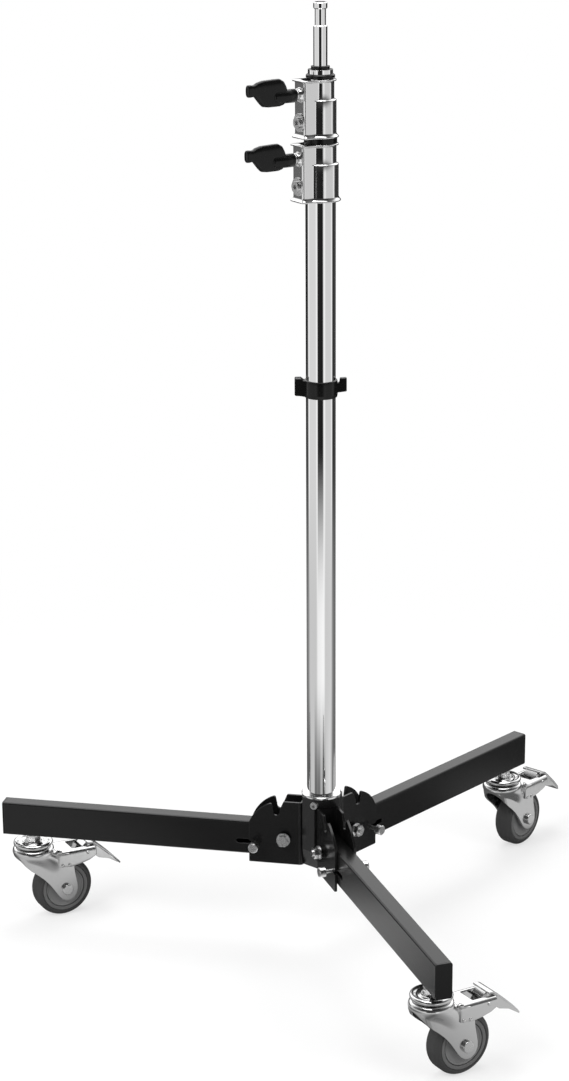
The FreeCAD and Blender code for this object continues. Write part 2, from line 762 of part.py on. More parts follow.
def end_cap(side, heading):
    start = leg_reach - cap_thickness
    body = new_body("end_cap")
    padded(body, drawing(body, "YZ_Plane", leg_outline(), lift=start), cap_thickness)
    width = leg_width - 2 * leg_wall - 2 * cap_plug_gap
    height = leg_height - 2 * leg_wall - 2 * cap_plug_gap
    corner = (start - cap_plug_depth, -width / 2, leg_foot + leg_wall + cap_plug_gap)
    block(body, corner, (cap_plug_depth, width, height))
    place(body, heading)
    node(body, "end_cap_" + side)


def lock_pin(side, heading):
    shank, cap = pin_diameter / 2, pin_cap_diameter / 2
    end, inner = pin_half_length, pin_half_length - pin_cap_length
    edge = pin_cap_round
    corners = [
        (0, -end),
        (cap - edge, -end),
        (cap, edge - end),
        (cap, -inner),
        (shank, -inner),
        (shank, inner),
        (cap, inner),
        (cap, end - edge),
        (cap - edge, end),
        (0, end),
    ]
    body = new_body("lock_pin")
    revolved(body, corners)
    place(body, heading, (pin_reach, 0, pin_height), turn=ALONG_Y)
    node(body, "lock_pin_" + side)


def lock_spring(side, heading):
    """The coil that draws the lock pin towards the pivot, laid along the line between the two."""
    wire = spring_wire / 2
    radius = (spring_diameter - spring_wire) / 2
    start = pivot_bolt_diameter / 2 + spring_end_gap + wire
    end = pin_orbit() - pin_diameter / 2 - spring_end_gap - wire
    body = new_body("lock_spring")
    sketch = body.newObject("Sketcher::SketchObject", "Wire")
    sketch.AttachmentSupport = [(origin_plane(body, "XZ_Plane"), "")]
    sketch.MapMode = "FlatFace"
    centre = Vector(radius.number, start.number, 0)
    sketch.addGeometry(Part.Circle(centre, Vector(0, 0, 1), wire.number), False)
    for kind, value in (("DistanceX", radius), ("DistanceY", start)):
        number = sketch.addConstraint(Sketcher.Constraint(kind, -1, 1, 0, 3, value.number))
        bind(sketch, "Constraints[%d]" % number, value)
    number = sketch.addConstraint(Sketcher.Constraint("Radius", 0, wire.number))
    bind(sketch, "Constraints[%d]" % number, wire)
    coil = body.newObject("PartDesign::AdditiveHelix", "Coil")
    coil.Profile = sketch
    coil.ReferenceAxis = (sketch, ["V_Axis"])
    coil.Mode = 0
    bind(coil, "Pitch", (end - start) / spring_turns)
    bind(coil, "Height", end - start)
    below = math.degrees(math.atan2(pin_below.number, pin_forward.number))
    turn = Rotation(Vector(0, 1, 0), below).multiply(ALONG_X).multiply(QUARTER_TURN)
    place(body, heading, (pivot_reach, 0, pivot_height), turn=turn)
    node(body, "lock_spring_" + side)


# Casters. Each is made about its swivel axis and trails along +X, then goes to its stem.
def caster_seat(heading):
    c, s = math.cos(math.radians(heading)), math.sin(math.radians(heading))
    return (stem_reach * c, stem_reach * s, as_size(0))


def caster_stem(side, heading):
    """Threaded stem, nuts, fixed race and king pin: one staked piece that stays with the leg."""
    fork_foot = dish_top - dish_height - fork_crown_depth
    head_foot = fork_foot - rest_gap - king_head_height
    head_top = fork_foot - rest_gap
    king, head = king_pin_diameter / 2, king_head_diameter / 2
    outer, recess = race_diameter / 2, race_recess_diameter / 2
    stem = stem_diameter / 2
    stem_top = leg_foot + leg_wall + inner_nut_height + stem_spare
    body = new_body("caster_stem")
    corners = [
        (0, head_foot),
        (head, head_foot),
        (head, head_top),
        (king, head_top),
        (king, race_foot),
        (outer, race_foot),
        (outer, race_top - race_round, race_round),
        (outer - race_round, race_top),
        (recess, race_top),
        (recess - race_recess_depth, race_top - race_recess_depth),
        (stem, race_top - race_recess_depth),
        (stem, stem_top),
        (0, stem_top),
    ]
    revolved(body, corners)
    nut_foot = race_top - race_recess_depth
    hexagon(body, stem_nut_flats, (0, 0, nut_foot), leg_foot - nut_foot)
    hexagon(body, inner_nut_flats, (0, 0, leg_foot + leg_wall), inner_nut_height)
    place(body, heading, seat=caster_seat(heading))
    node(body, "caster_stem_" + side)


def cheek(body, side_sign):
    """One side plate of the fork: a sloping plate that ends round the axle in an eye."""
    dish = dish_diameter / 2
    eye = fork_eye_radius
    top = housing_top - housing_sheet
    corners = [
        (-dish * 4 / 5, dish_top - dish_height),
        (-dish * 4 / 5, top - fork_plate),
        (-dish * 3 / 5, top - 3 * fork_plate),
        (caster_trail - eye * eye_share, axle_height - eye / 4),
        (caster_trail, axle_height),
        (caster_trail + eye, axle_height),
        (caster_trail + eye * 7 / 8, top - 2 * eye),
        (caster_trail + eye * 7 / 8, top),
        (dish, top),
        (dish * 3 / 4, dish_top - dish_height),
    ]
    lift = fork_gap / 2 if side_sign > 0 else -fork_half
    padded(body, drawing(body, "XZ_Plane", corners, lift=lift), fork_plate)
    low = -fork_half if side_sign > 0 else fork_gap / 2
    cylinder(body, eye, (caster_trail, low, axle_height), fork_plate, along="Y")


def fork(side, heading, trail):
    dish = dish_diameter / 2
    dish_foot = dish_top - dish_height
    body = new_body("fork")
    corners = [
        (0, dish_foot - fork_plate),
        (dish - dish_round * 2, dish_foot - fork_plate),
        (dish - dish_round / 2, dish_foot),
        (dish, dish_foot + dish_round),
        (dish, dish_top - dish_round / 2),
        (dish - dish_round / 2, dish_top),
        (0, dish_top),
    ]
    revolved(body, corners)
    crown_start = -dish * 4 / 5
    crown_foot = dish_foot - fork_crown_depth
    crown = (dish * 3 / 4 - crown_start, 2 * fork_half, fork_crown_depth)
    block(body, (crown_start, -fork_half, crown_foot), crown)
    for side_sign in (1, -1):
        cheek(body, side_sign)
    bore = king_pin_diameter / 2 + turning_gap
    cylinder(body, bore, (0, 0, crown_foot - overrun), dish_height + fork_crown_depth + 2 * overrun, cut=True)
    across = 2 * fork_half + 2 * overrun
    cylinder(body, axle_diameter / 2, (caster_trail, -across / 2, axle_height), across, along="Y", cut=True)
    place(body, trail, seat=caster_seat(heading))
    node(body, "fork_" + side)


def brake_housing(side, heading, trail):
    """Inverted U of sheet riveted over the fork, with a window in its top for the pedal's arm."""
    start, end = housing_start, housing_end
    skirt = housing_top - housing_skirt
    end_skirt = housing_top - housing_end_skirt
    body = new_body("brake_housing")
    corners = [(start, skirt), (end, end_skirt), (end, housing_top), (start, housing_top)]
    padded(body, drawing(body, "XZ_Plane", corners, lift=-housing_half), 2 * housing_half)
    softened(body, housing_bend, lambda edge: is_top_rim(edge, housing_top.number, housing_half.number))
    low = (start - overrun, -fork_half, skirt - overrun)
    block(body, low, (housing_length + 2 * overrun, 2 * fork_half, housing_skirt + overrun - housing_sheet), cut=True)
    window = (window_start, -window_width / 2, housing_top - housing_sheet - overrun)
    block(body, window, (window_length, window_width, 2 * overrun + housing_sheet), cut=True)
    for index in range(2):
        x = start + rivet_inset + rivet_pitch * index
        z = skirt + rivet_rise + rivet_pitch * index / 8
        for y in (-housing_half - rivet_height, housing_half):
            cylinder(body, rivet_diameter / 2, (x, y, z), rivet_height, along="Y")
    bore = pedal_pin_diameter / 2 + turning_gap
    across = 2 * housing_half + 2 * overrun
    cylinder(body, bore, (pedal_pin_reach, -across / 2, pedal_pin_height), across, along="Y", cut=True)
    place(body, trail, seat=caster_seat(heading))
    node(body, "brake_housing_" + side)


def is_top_rim(edge, height, half_width):
    """True for the two long edges where the housing's top meets its sides."""
    ends = [vertex.Point for vertex in edge.Vertexes]
    tolerance = half_width / 1000
    return len(ends) == 2 and all(
        abs(point.z - height) < tolerance and abs(abs(point.y) - half_width) < tolerance for point in ends
    ) and abs(ends[0].y - ends[1].y) < tolerance


def pedal(side, heading, trail):
    """Sloping foot plate with a flange down each side, its arm through the window and its cross pin."""
    foot = housing_top + pedal_clearance
    thick = pedal_sheet * 4 / 3
    body = new_body("pedal")
    corners = [
        (pedal_root, foot + pedal_rise),
        (housing_end, foot),
        (pedal_reach - pedal_sheet, foot - pedal_drop),
        (pedal_reach, foot - pedal_drop),
        (pedal_reach, foot - pedal_drop + thick),
        (housing_end, foot + thick),
        (pedal_root + pedal_sheet / 2, foot + pedal_rise + pedal_sheet),
        (pedal_root, foot + pedal_rise + pedal_sheet),
    ]
    padded(body, drawing(body, "XZ_Plane", corners, lift=-pedal_width / 2), pedal_width)
    flange = [
        (housing_end + pedal_sheet * 5 / 4, foot),
        *[(housing_end + pedal_overhang * out, foot - pedal_drop * down) for out, down in flange_shares],
        (pedal_reach - pedal_sheet / 2, foot - pedal_drop + pedal_sheet / 2),
    ]
    for edge in (-pedal_width / 2, pedal_width / 2 - pedal_flange):
        padded(body, drawing(body, "XZ_Plane", flange, lift=edge), pedal_flange)
    arm_foot = pedal_pin_height - pedal_pin_diameter
    arm = (pedal_pin_reach - pedal_arm_behind, -pedal_arm_width / 2, arm_foot)
    arm_length = pedal_arm_behind + pedal_arm_ahead
    block(body, arm, (arm_length, pedal_arm_width, foot + pedal_rise - arm_foot))
    heel(body)
    across = 2 * housing_half + 2 * rivet_height
    pin = (pedal_pin_reach, -across / 2, pedal_pin_height)
    cylinder(body, pedal_pin_diameter / 2, pin, across, along="Y")
    place(body, trail, seat=caster_seat(heading))
    node(body, "brake_pedal_" + side)


def heel(body):
    """The brake's heel: it points from the cross pin at the axle and stops just short of the tyre."""
    across = (pedal_pin_reach - caster_trail).number
    above = (pedal_pin_height - axle_height).number
    apart = (pedal_pin_reach - caster_trail) * (math.hypot(across, above) / across)
    length = apart - wheel_diameter / 2 - pedal_clearance
    form = block(body, origin, (length, pedal_arm_width, pedal_heel_width))
    lean = Rotation(Vector(0, 1, 0), 180 - math.degrees(math.atan2(above, across)))
    half = lean.multVec(Vector(0, pedal_arm_width.number / 2, pedal_heel_width.number / 2))
    shift = pedal_heel_width * (half.x / pedal_heel_width.number)
    drop = pedal_heel_width * (half.z / pedal_heel_width.number)
    spot = (pedal_pin_reach - shift, -pedal_arm_width / 2, pedal_pin_height - drop)
    locate(form, spot, lean)


def axle(side, heading, trail):
    shank, cap = axle_diameter / 2, axle_cap_diameter / 2
    inner = fork_half
    end = fork_half + axle_cap_height
    edge = axle_cap_round
    corners = [
        (0, -end),
        (cap - edge, -end, edge),
        (cap, edge - end),
        (cap, -inner),
        (shank, -inner),
        (shank, inner),
        (cap, inner),
        (cap, end - edge, edge),
        (cap - edge, end),
        (0, end),
    ]
    body = new_body("axle")
    revolved(body, corners)
    place(body, trail, (caster_trail, 0, axle_height), caster_seat(heading), ALONG_Y)
    node(body, "axle_" + side)


def tyre(side, heading, trail):
    inner, outer = core_diameter / 2 - core_lip, wheel_diameter / 2
    half, shoulder = tyre_width / 2, tyre_shoulder
    face = half - core_face_inset
    lip = core_diameter / 2
    corners = [
        (inner, -face),
        (lip, -face),
        (lip, -half),
        (outer - shoulder, -half, shoulder),
        (outer, shoulder - half),
        (outer, half - shoulder, shoulder),
        (outer - shoulder, half),
        (lip, half),
        (lip, face),
        (inner, face),
    ]
    body = new_body("tyre")
    revolved(body, corners)
    place(body, trail, (caster_trail, 0, axle_height), caster_seat(heading), ALONG_Y)
    node(body, "tyre_" + side)


def wheel_core(side, heading, trail):
    bore = axle_diameter / 2 + turning_gap
    boss = core_boss_diameter / 2
    rim = core_diameter / 2 - core_lip
    groove = rim - core_groove
    face = tyre_width / 2 - core_face_inset
    dish = face - core_dish_depth
    side_face = fork_gap / 2 - core_side_play
    upper = [
        (bore, -side_face),
        (boss, -side_face),
        (boss, -dish),
        (groove - core_dish_edge, -dish),
        (groove, -face),
        (groove, -face + core_groove),
        (rim, -face + core_groove),
    ]
    lower = [(radius, -height) for radius, height in reversed(upper)]
    body = new_body("wheel_core")
    revolved(body, upper + lower)
    place(body, trail, (caster_trail, 0, axle_height), caster_seat(heading), ALONG_Y)
    node(body, "wheel_core_" + side)


# Column tubes, glides and the ring between the collars.
def column_tubes():
    lower, middle, top = lower_tube_diameter / 2, middle_tube_diameter / 2, top_tube_diameter / 2
    lower_top = lower_collar_foot + collar_seat_height
    middle_top = upper_collar_foot + collar_seat_height
    turned("lower_tube", ring(lower - tube_wall, lower, lower_tube_foot, lower_top))
    turned("middle_tube", ring(middle - tube_wall, middle, middle_tube_foot, middle_top))
    turned("top_tube", ring(top - tube_wall, top, top_tube_foot, cap_foot))
    glide("middle_glide", middle, lower - tube_wall, middle_tube_foot)
    glide("top_glide", top, middle - tube_wall, top_tube_foot)
    margin = collar_ring_margin + middle
    turned("collar_ring", ring(middle + sliding_gap, margin, lower_collar_top, lower_collar_top + collar_ring_height))


def glide(label, tube, bore, foot):
    """Plastic sleeve round a tube's lower end, with a ledge under it, that runs in the tube outside."""
    outer = bore - sliding_gap
    inner = tube - tube_wall
    corners = [
        (inner, foot - glide_ledge),
        (outer, foot - glide_ledge),
        (outer, foot + glide_sleeve),
        (tube, foot + glide_sleeve),
        (tube, foot),
        (inner, foot),
    ]
    turned(label, corners)


# Locking collars with their knobs.
def keyhole(radius, nose, half, corner):
    """A round barrel with a flat-ended nose along +X, seen from above."""
    meet = (radius.number ** 2 - half.number ** 2) ** 0.5
    meet_share = meet / radius.number
    return [
        (radius * meet_share, -half),
        (nose - corner, -half, corner),
        (nose, corner - half),
        (nose, half - corner, corner),
        (nose - corner, half),
        (radius * meet_share, half, radius),
    ]


def collar(label, foot, outer_tube, inner_tube):
    barrel = outer_tube / 2 + collar_wall
    waist = barrel - collar_step
    nose = collar_reach(outer_tube)
    half = collar_nose_width / 2
    top = foot + collar_height
    body = new_body(label)
    outline = keyhole(waist, nose, half, collar_nose_round)
    padded(body, drawing(body, "XY_Plane", outline, lift=foot), collar_height)
    cylinder(body, barrel, (0, 0, foot), collar_step_height)
    lip = keyhole(waist + collar_lip, nose + collar_lip, half + collar_lip, collar_nose_round)
    padded(body, drawing(body, "XY_Plane", lip, lift=top - collar_lip_height), collar_lip_height)
    flare = keyhole(barrel + collar_flare, nose + collar_flare, half + collar_flare, collar_nose_round)
    slope = -math.degrees(math.atan2(collar_flare.number, collar_flare_height.number))
    padded(body, drawing(body, "XY_Plane", flare, lift=foot), collar_flare_height, taper=slope)
    boss = (nose - collar_nose_round, 0, foot + knob_height)
    cylinder(body, knob_boss_diameter / 2, boss, knob_boss_length + collar_nose_round, along="X")
    cylinder(body, inner_tube / 2 + sliding_gap, (0, 0, foot - overrun), collar_height + 2 * overrun, cut=True)
    cylinder(body, outer_tube / 2, (0, 0, foot - overrun), collar_seat_height + overrun, cut=True)
    screw_bore = knob_screw_diameter / 2 + turning_gap
    cylinder(body, screw_bore, (0, 0, foot + knob_height), nose + knob_boss_length + overrun, along="X", cut=True)
    cylinder(body, clamp_bolt_diameter / 2, (0, 0, foot + clamp_height), nose + overrun, along="X", cut=True)
    place(body, knob_heading)
    node(body, label)


def collar_reach(outer_tube):
    return outer_tube / 2 + collar_wall + collar_nose


def knob(label, foot, outer_tube):
    """Black handle: a barrel on the screw and a wing that stands higher above it than below."""
    base = collar_reach(outer_tube) + knob_boss_length + knob_nut_height
    barrel = knob_barrel_diameter / 2
    start = base + wing_start
    end = start + wing_length
    body = new_body(label)
    corners = [
        (-wing_fall, start),
        (wing_rise * 2 / 5, start),
        (wing_rise, start + wing_length / 5),
        (wing_rise, end - wing_length * 7 / 24),
        (wing_rise * 3 / 4, end),
        (wing_rise * 3 / 4, end + nub_length),
        (wing_rise / 8, end + nub_length),
        (wing_rise / 6, end),
        (-wing_fall * 2 / 5, end - wing_length / 6),
        (-wing_fall, end - wing_length * 7 / 24),
    ]
    padded(body, drawing(body, "XZ_Plane", corners, lift=-wing_thickness / 2), wing_thickness)
    softened(body, wing_round, lambda edge: True)
    cylinder(body, barrel, (0, 0, base), knob_barrel_length)
    cylinder(body, knob_screw_diameter / 2, (0, 0, base - overrun), knob_screw_grip + overrun, cut=True)
    place(body, knob_heading, (0, 0, foot + knob_height), turn=ALONG_X)
    node(body, label)


def knob_screw(label, foot, outer_tube, inner_tube):
    tip = inner_tube / 2 + 2 * sliding_gap
    nut_foot = collar_reach(outer_tube) + knob_boss_length
    nut_top = nut_foot + knob_nut_height
    end = nut_top + knob_screw_grip
    shank, nut = knob_screw_diameter / 2, knob_nut_diameter / 2
    corners = [
        (0, tip),
        (shank, tip),
        (shank, nut_foot),
        (nut, nut_foot),
        (nut, nut_top),
        (shank, nut_top),
        (shank, end),
        (0, end),
    ]
    body = new_body(label)
    revolved(body, corners)
    place(body, knob_heading, (0, 0, foot + knob_height), turn=ALONG_X)
    node(body, label)


def clamp_bolt(label, foot, outer_tube):
    """Socket screw with a wide washer, through the nose on to the tube."""
    tip = outer_tube / 2
    seat = collar_reach(outer_tube)
    washer_top = seat + clamp_washer_height
    top = washer_top + clamp_head_height
    shank, head, washer = clamp_bolt_diameter / 2, clamp_head_diameter / 2, clamp_washer_diameter / 2
    corners = [
        (0, tip),
        (shank, tip),
        (shank, seat),
        (washer, seat),
        (washer, washer_top),
        (head, washer_top),
        (head, top),
        (0, top),
    ]
    body = new_body(label)
    revolved(body, corners)
    hexagon(body, clamp_key, (0, 0, top - key_depth), key_depth + overrun, cut=True)
    place(body, knob_heading, (0, 0, foot + clamp_height), turn=ALONG_X)
    node(body, label)


def collars():
    stages = (
        ("lower", lower_collar_foot, lower_tube_diameter, middle_tube_diameter),
        ("upper", upper_collar_foot, middle_tube_diameter, top_tube_diameter),
    )
    for name, foot, outer_tube, inner_tube in stages:
        collar(name + "_collar", foot, outer_tube, inner_tube)
        knob(name + "_knob", foot, outer_tube)
        knob_screw(name + "_knob_screw", foot, outer_tube, inner_tube)
        clamp_bolt(name + "_clamp_bolt", foot, outer_tube)


def tube_clip():
    tube = lower_tube_diameter / 2
    body = new_body("tube_clip")
    cylinder(body, tube + clip_wall, (0, 0, clip_foot), clip_height)
    block(body, (tube, -clip_block_depth / 2, clip_foot), (clip_block_reach - tube, clip_block_depth, clip_height))
    tab = (-clip_tab_reach, -clip_tab_depth / 2, clip_foot + clip_tab_rise)
    block(body, tab, (clip_tab_reach - tube, clip_tab_depth, clip_tab_height))
    cylinder(body, tube, (0, 0, clip_foot - overrun), clip_height + 2 * overrun, cut=True)
    slot = (tube - overrun, -clip_slot / 2, clip_foot - overrun)
    block(body, slot, (clip_block_reach - tube + 2 * overrun, clip_slot, clip_height + 2 * overrun), cut=True)
    place(body, clip_heading)
    node(body, "tube_clip")


# Top of the column.
def top_cap():
    plug = top_tube_diameter / 2 - tube_wall
    outer, edge = cap_flange_diameter / 2, cap_flange_edge
    root = stud_root_diameter / 2
    corners = [
        (root, cap_foot - cap_plug_length),
        (plug, cap_foot - cap_plug_length),
        (plug, cap_foot),
        (outer - edge, cap_foot),
        (outer, cap_foot + edge),
        (outer, cap_top - edge),
        (outer - edge, cap_top),
        (root, cap_top),
    ]
    turned("top_cap", corners)


def stud():
    root, flange = stud_root_diameter / 2, stud_flange_diameter / 2
    pin, neck, edge = stud_diameter / 2, stud_neck_diameter / 2, stud_edge
    groove = stud_groove_diameter / 2
    washer_top = stud_flange_top + stud_washer_height
    groove_top = washer_top + stud_groove_spare
    corners = [
        (0, cap_top - stud_root_length),
        (root, cap_top - stud_root_length),
        (root, cap_top),
        (flange, cap_top),
        (flange, stud_flange_top),
        (groove, stud_flange_top),
        (groove, groove_top),
        (pin, groove_top),
        (pin, pin_top - edge),
        (pin - edge, pin_top),
        (neck, pin_top),
        (neck, neck_top),
        (pin - edge, neck_top),
        (pin, neck_top + edge),
        (pin, stud_top - edge),
        (pin - edge, stud_top),
        (0, stud_top),
    ]
    turned("stud", corners)
    turned("stud_washer", ring(groove, stud_washer_diameter / 2, stud_flange_top, washer_top))


def check_document():
    """Stops before anything is written if a feature failed, cut nothing, or left no sound solid."""
    for item in document.Objects:
        if "Invalid" in item.State or "Error" in item.State:
            raise RuntimeError("%s failed: %s" % (item.Name, item.State))
        if "Subtractive" in item.TypeId:
            before = item.BaseFeature.Shape.Volume
            if item.Shape.Volume >= before * (1 - 1e-7):
                raise RuntimeError("%s in %s cut nothing" % (item.Name, item.getParentGeoFeatureGroup().Label))
    for item in nodes:
        if item.Shape.isNull() or not item.Shape.isValid():
            raise RuntimeError("%s has no sound shape" % item.Label)


hub_socket()
foot_ring()
hub_screw()
for side_name, leg_heading in LEG_HEADINGS.items():
    bracket(side_name, leg_heading)
pivot_fasteners()
pivot_spacers()
for side_name, leg_heading in LEG_HEADINGS.items():
    trail_heading = CASTER_HEADINGS[side_name]
    leg(side_name, leg_heading)
    end_cap(side_name, leg_heading)
    lock_pin(side_name, leg_heading)
    lock_spring(side_name, leg_heading)
    caster_stem(side_name, leg_heading)
    fork(side_name, leg_heading, trail_heading)
    brake_housing(side_name, leg_heading, trail_heading)
    pedal(side_name, leg_heading, trail_heading)
    axle(side_name, leg_heading, trail_heading)
    tyre(side_name, leg_heading, trail_heading)
    wheel_core(side_name, leg_heading, trail_heading)
column_tubes()
collars()
tube_clip()
top_cap()
stud()

document.recompute()
check_document()
for piece in nodes:
    piece.Shape.exportStep("parts/%s.step" % piece.Label)
print("%d nodes, stud top at %.1f mm" % (len(nodes), stud_top.number))
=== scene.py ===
# %% [markdown]
# # Wheeled light stand
# A chrome column stands on three black box legs, and each leg rolls on a braked caster. The solid
# model of the stand comes from the workshop as a fixed frame, already in metres. This lesson dresses
# it: first the studio, then the finishes, and then the pieces whose soft corners, pressed sheet and
# moulded curves a turned or sawn solid can't show.

import json
import math

import bmesh
import bpy
import numpy as np
from mathutils import Matrix, Vector


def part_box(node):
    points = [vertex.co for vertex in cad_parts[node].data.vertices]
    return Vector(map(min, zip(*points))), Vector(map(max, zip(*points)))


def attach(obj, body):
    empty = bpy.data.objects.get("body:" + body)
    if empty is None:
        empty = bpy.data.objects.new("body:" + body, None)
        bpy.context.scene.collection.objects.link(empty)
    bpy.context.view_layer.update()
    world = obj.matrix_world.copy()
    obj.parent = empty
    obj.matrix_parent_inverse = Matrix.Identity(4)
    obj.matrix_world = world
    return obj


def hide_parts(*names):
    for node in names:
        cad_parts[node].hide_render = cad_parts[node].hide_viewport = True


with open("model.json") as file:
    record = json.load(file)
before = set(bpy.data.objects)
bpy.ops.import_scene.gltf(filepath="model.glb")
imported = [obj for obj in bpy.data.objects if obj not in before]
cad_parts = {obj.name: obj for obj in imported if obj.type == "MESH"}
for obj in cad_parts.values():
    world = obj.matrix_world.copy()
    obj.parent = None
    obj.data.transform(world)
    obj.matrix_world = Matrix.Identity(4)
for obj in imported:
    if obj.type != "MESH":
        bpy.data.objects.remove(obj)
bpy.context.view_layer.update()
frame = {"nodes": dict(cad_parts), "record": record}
nodes = frame["nodes"]
SIDES = ("front", "right", "left")

# %% [markdown]
# ## The camera
# The photograph was taken from a little above the column's top, about three metres away, and looks
# down by some seventeen degrees. A camera is placed by three directions: where it looks, what is to
# its right and what is above it. They make the columns of its rotation. The lens is given on a 36 mm
# sensor whose long side is the picture's height.

# %% Camera
def turned_about_column(degrees, x, y, z):
    """Turns a direction about the column by an angle, counted from +X towards +Y."""
    c, s = math.cos(math.radians(degrees)), math.sin(math.radians(degrees))
    return Vector((x * c - y * s, x * s + y * c, z))


view_turn = -19.2
look_down = math.radians(17.192)
look_aside = math.radians(-0.83)
roll = math.radians(-0.315)
camera_distance = 3.0
camera_height = 1.4526
focal_length = 87.80
camera_side = view_turn - 90.0
forward = turned_about_column(
    view_turn,
    math.sin(look_aside) * math.cos(look_down),
    math.cos(look_aside) * math.cos(look_down),
    -math.sin(look_down),
)
level_right = turned_about_column(view_turn, math.cos(look_aside), -math.sin(look_aside), 0.0)
level_up = level_right.cross(forward)
right = math.cos(roll) * level_right + math.sin(roll) * level_up
up = math.cos(roll) * level_up - math.sin(roll) * level_right

camera_data = bpy.data.cameras.new("photo_camera")
camera_data.lens = focal_length
camera_data.sensor_width = 36.0
camera_data.clip_end = 50.0
camera = bpy.data.objects.new("photo_camera", camera_data)
turn = Matrix((right, up, -forward)).transposed().to_4x4()
stance = turned_about_column(view_turn, 0.0, -camera_distance, camera_height)
camera.matrix_world = Matrix.Translation(stance) @ turn
bpy.context.scene.collection.objects.link(camera)
bpy.context.scene.camera = camera
print("camera stands at", [round(value, 3) for value in camera.matrix_world.translation])

# %% [markdown]
# ## The studio
# Chrome shows nothing but its surroundings, so the studio matters as much as the metal. The camera
# looks down, so the upright tube mirrors the floor, and only sloping faces mirror the world. Both get
# the same pattern for reflections: the direction's angle about the column picks a shade from a colour
# ramp, with pale walls on both sides, a dark gap where the camera looks in, and dark flags behind the
# stand that draw the thin black outline down each edge of the tube. On the floor this far pattern
# gives way to a near one, with white paper before the gap, and then to a close one for the casters,
# with a light card beside the right caster. Round the column's foot lies the real paper. In the world
# the walls end a little above the horizon: over them the camera's side is dark, a bank of light
# stands behind the stand, and a bright patch lies straight above. To the camera itself the world and
# the far floor are plain white, and the near floor keeps the stand's shadow. To all other light the
# world is an even soft white.

# %% Shades by direction
# Each stop is an angle in degrees from the camera's side and the grey that lies there.
FAR_SHADES = [
    (-180, 0.01), (-132, 0.01), (-123, 0.12), (-113, 0.14), (-109, 1.0), (-102, 1.0), (-97, 0.70),
    (-40, 0.70), (-35, 0.92), (-27, 0.92), (-23, 0.02), (15, 0.01), (23, 0.90), (32, 0.92), (37, 0.66),
    (84, 0.66), (88, 0.92), (94, 0.92), (101, 0.13), (110, 0.025), (122, 0.03), (131, 0.07), (146, 0.02),
    (180, 0.01),
]
NEAR_SHADES = [
    (-180, 0.15), (-125, 0.20), (-112, 0.35), (-97, 0.60), (-38, 0.60), (-26, 0.90), (22, 1.0),
    (34, 0.62), (88, 0.66), (100, 0.30), (120, 0.16), (150, 0.15), (180, 0.15),
]
CLOSE_SHADES = [
    (-180, 0.10), (-105, 0.10), (-90, 0.55), (-60, 0.60), (-46, 0.08), (-34, 0.20), (-14, 0.15),
    (2, 0.50), (16, 0.12), (38, 0.60), (75, 0.75), (105, 0.15), (180, 0.10),
]
UPPER_SHADES = [
    (-180, 0.90), (-130, 0.90), (-95, 0.10), (-50, 0.03), (50, 0.025), (95, 0.10), (130, 0.90), (180, 0.90),
]
UPPER_GAIN = 1.8
TOP_SHADE = 4.0
EVEN_LIGHT = 0.56
CARD_PLACE = (0.52, 0.17)
CARD_SHADE = 0.62

# Where one pattern gives way to the next: by height of the direction, or by metres on the floor.
WALLS_TO_UPPER = (0.08, 0.28)
UPPER_TO_TOP = (0.88, 0.94)
PAPER_TO_CLOSE = (0.05, 0.25)
CLOSE_TO_NEAR = (0.50, 1.0)
NEAR_TO_FAR = (1.2, 2.4)
CARD_EDGE = (0.07, 0.13)
SHADOW_TO_WHITE = (0.60, 1.60)
SHADOW_WHITE = 0.6


def add_math(tree, operation, first, second=None, third=None):
    """One math node; each operand is a number or the socket that feeds it."""
    item = tree.nodes.new("ShaderNodeMath")
    item.operation = operation
    for index, value in enumerate((first, second, third)):
        if isinstance(value, (int, float)):
            item.inputs[index].default_value = value
        elif value is not None:
            tree.links.new(value, item.inputs[index])
    return item.outputs[0]


def eased(tree, value, start, end):
    """Goes from 0 to 1 between two values, without a corner at either end."""
    item = tree.nodes.new("ShaderNodeMapRange")
    item.interpolation_type = "SMOOTHSTEP"
    item.inputs["From Min"].default_value = start
    item.inputs["From Max"].default_value = end
    tree.links.new(value, item.inputs["Value"])
    return item.outputs["Result"]


def shades_round_column(tree, x, y, stops):
    """A grey that depends on the direction about the column; 0 degrees is the camera's side."""
    angle = add_math(tree, "ARCTAN2", y, x)
    share = add_math(tree, "MULTIPLY_ADD", angle, 0.5 / math.pi, 0.5 - camera_side / 360.0)
    ramp = tree.nodes.new("ShaderNodeValToRGB")
    tree.links.new(add_math(tree, "FRACT", share), ramp.inputs[0])
    elements = ramp.color_ramp.elements
    while len(elements) < len(stops):
        elements.new(0.5)
    for element, (degrees, grey) in zip(elements, stops):
        element.position = 0.5 + degrees / 360.0
        element.color = (grey, grey, grey, 1.0)
    return ramp.outputs["Color"]


def blended(tree, factor, first, second):
    """Mixes two colours; each is a grey number or a socket."""
    item = tree.nodes.new("ShaderNodeMix")
    item.data_type = "RGBA"
    tree.links.new(factor, item.inputs["Factor"])
    for socket, value in (("A", first), ("B", second)):
        if isinstance(value, float):
            item.inputs[socket].default_value = (value, value, value, 1.0)
        else:
            tree.links.new(value, item.inputs[socket])
    return item.outputs["Result"]


def distance_on_floor(tree, x, y):
    """Pythagoras: the root of x squared plus y squared."""
    return add_math(tree, "SQRT", add_math(tree, "MULTIPLY_ADD", x, x, add_math(tree, "MULTIPLY", y, y)))


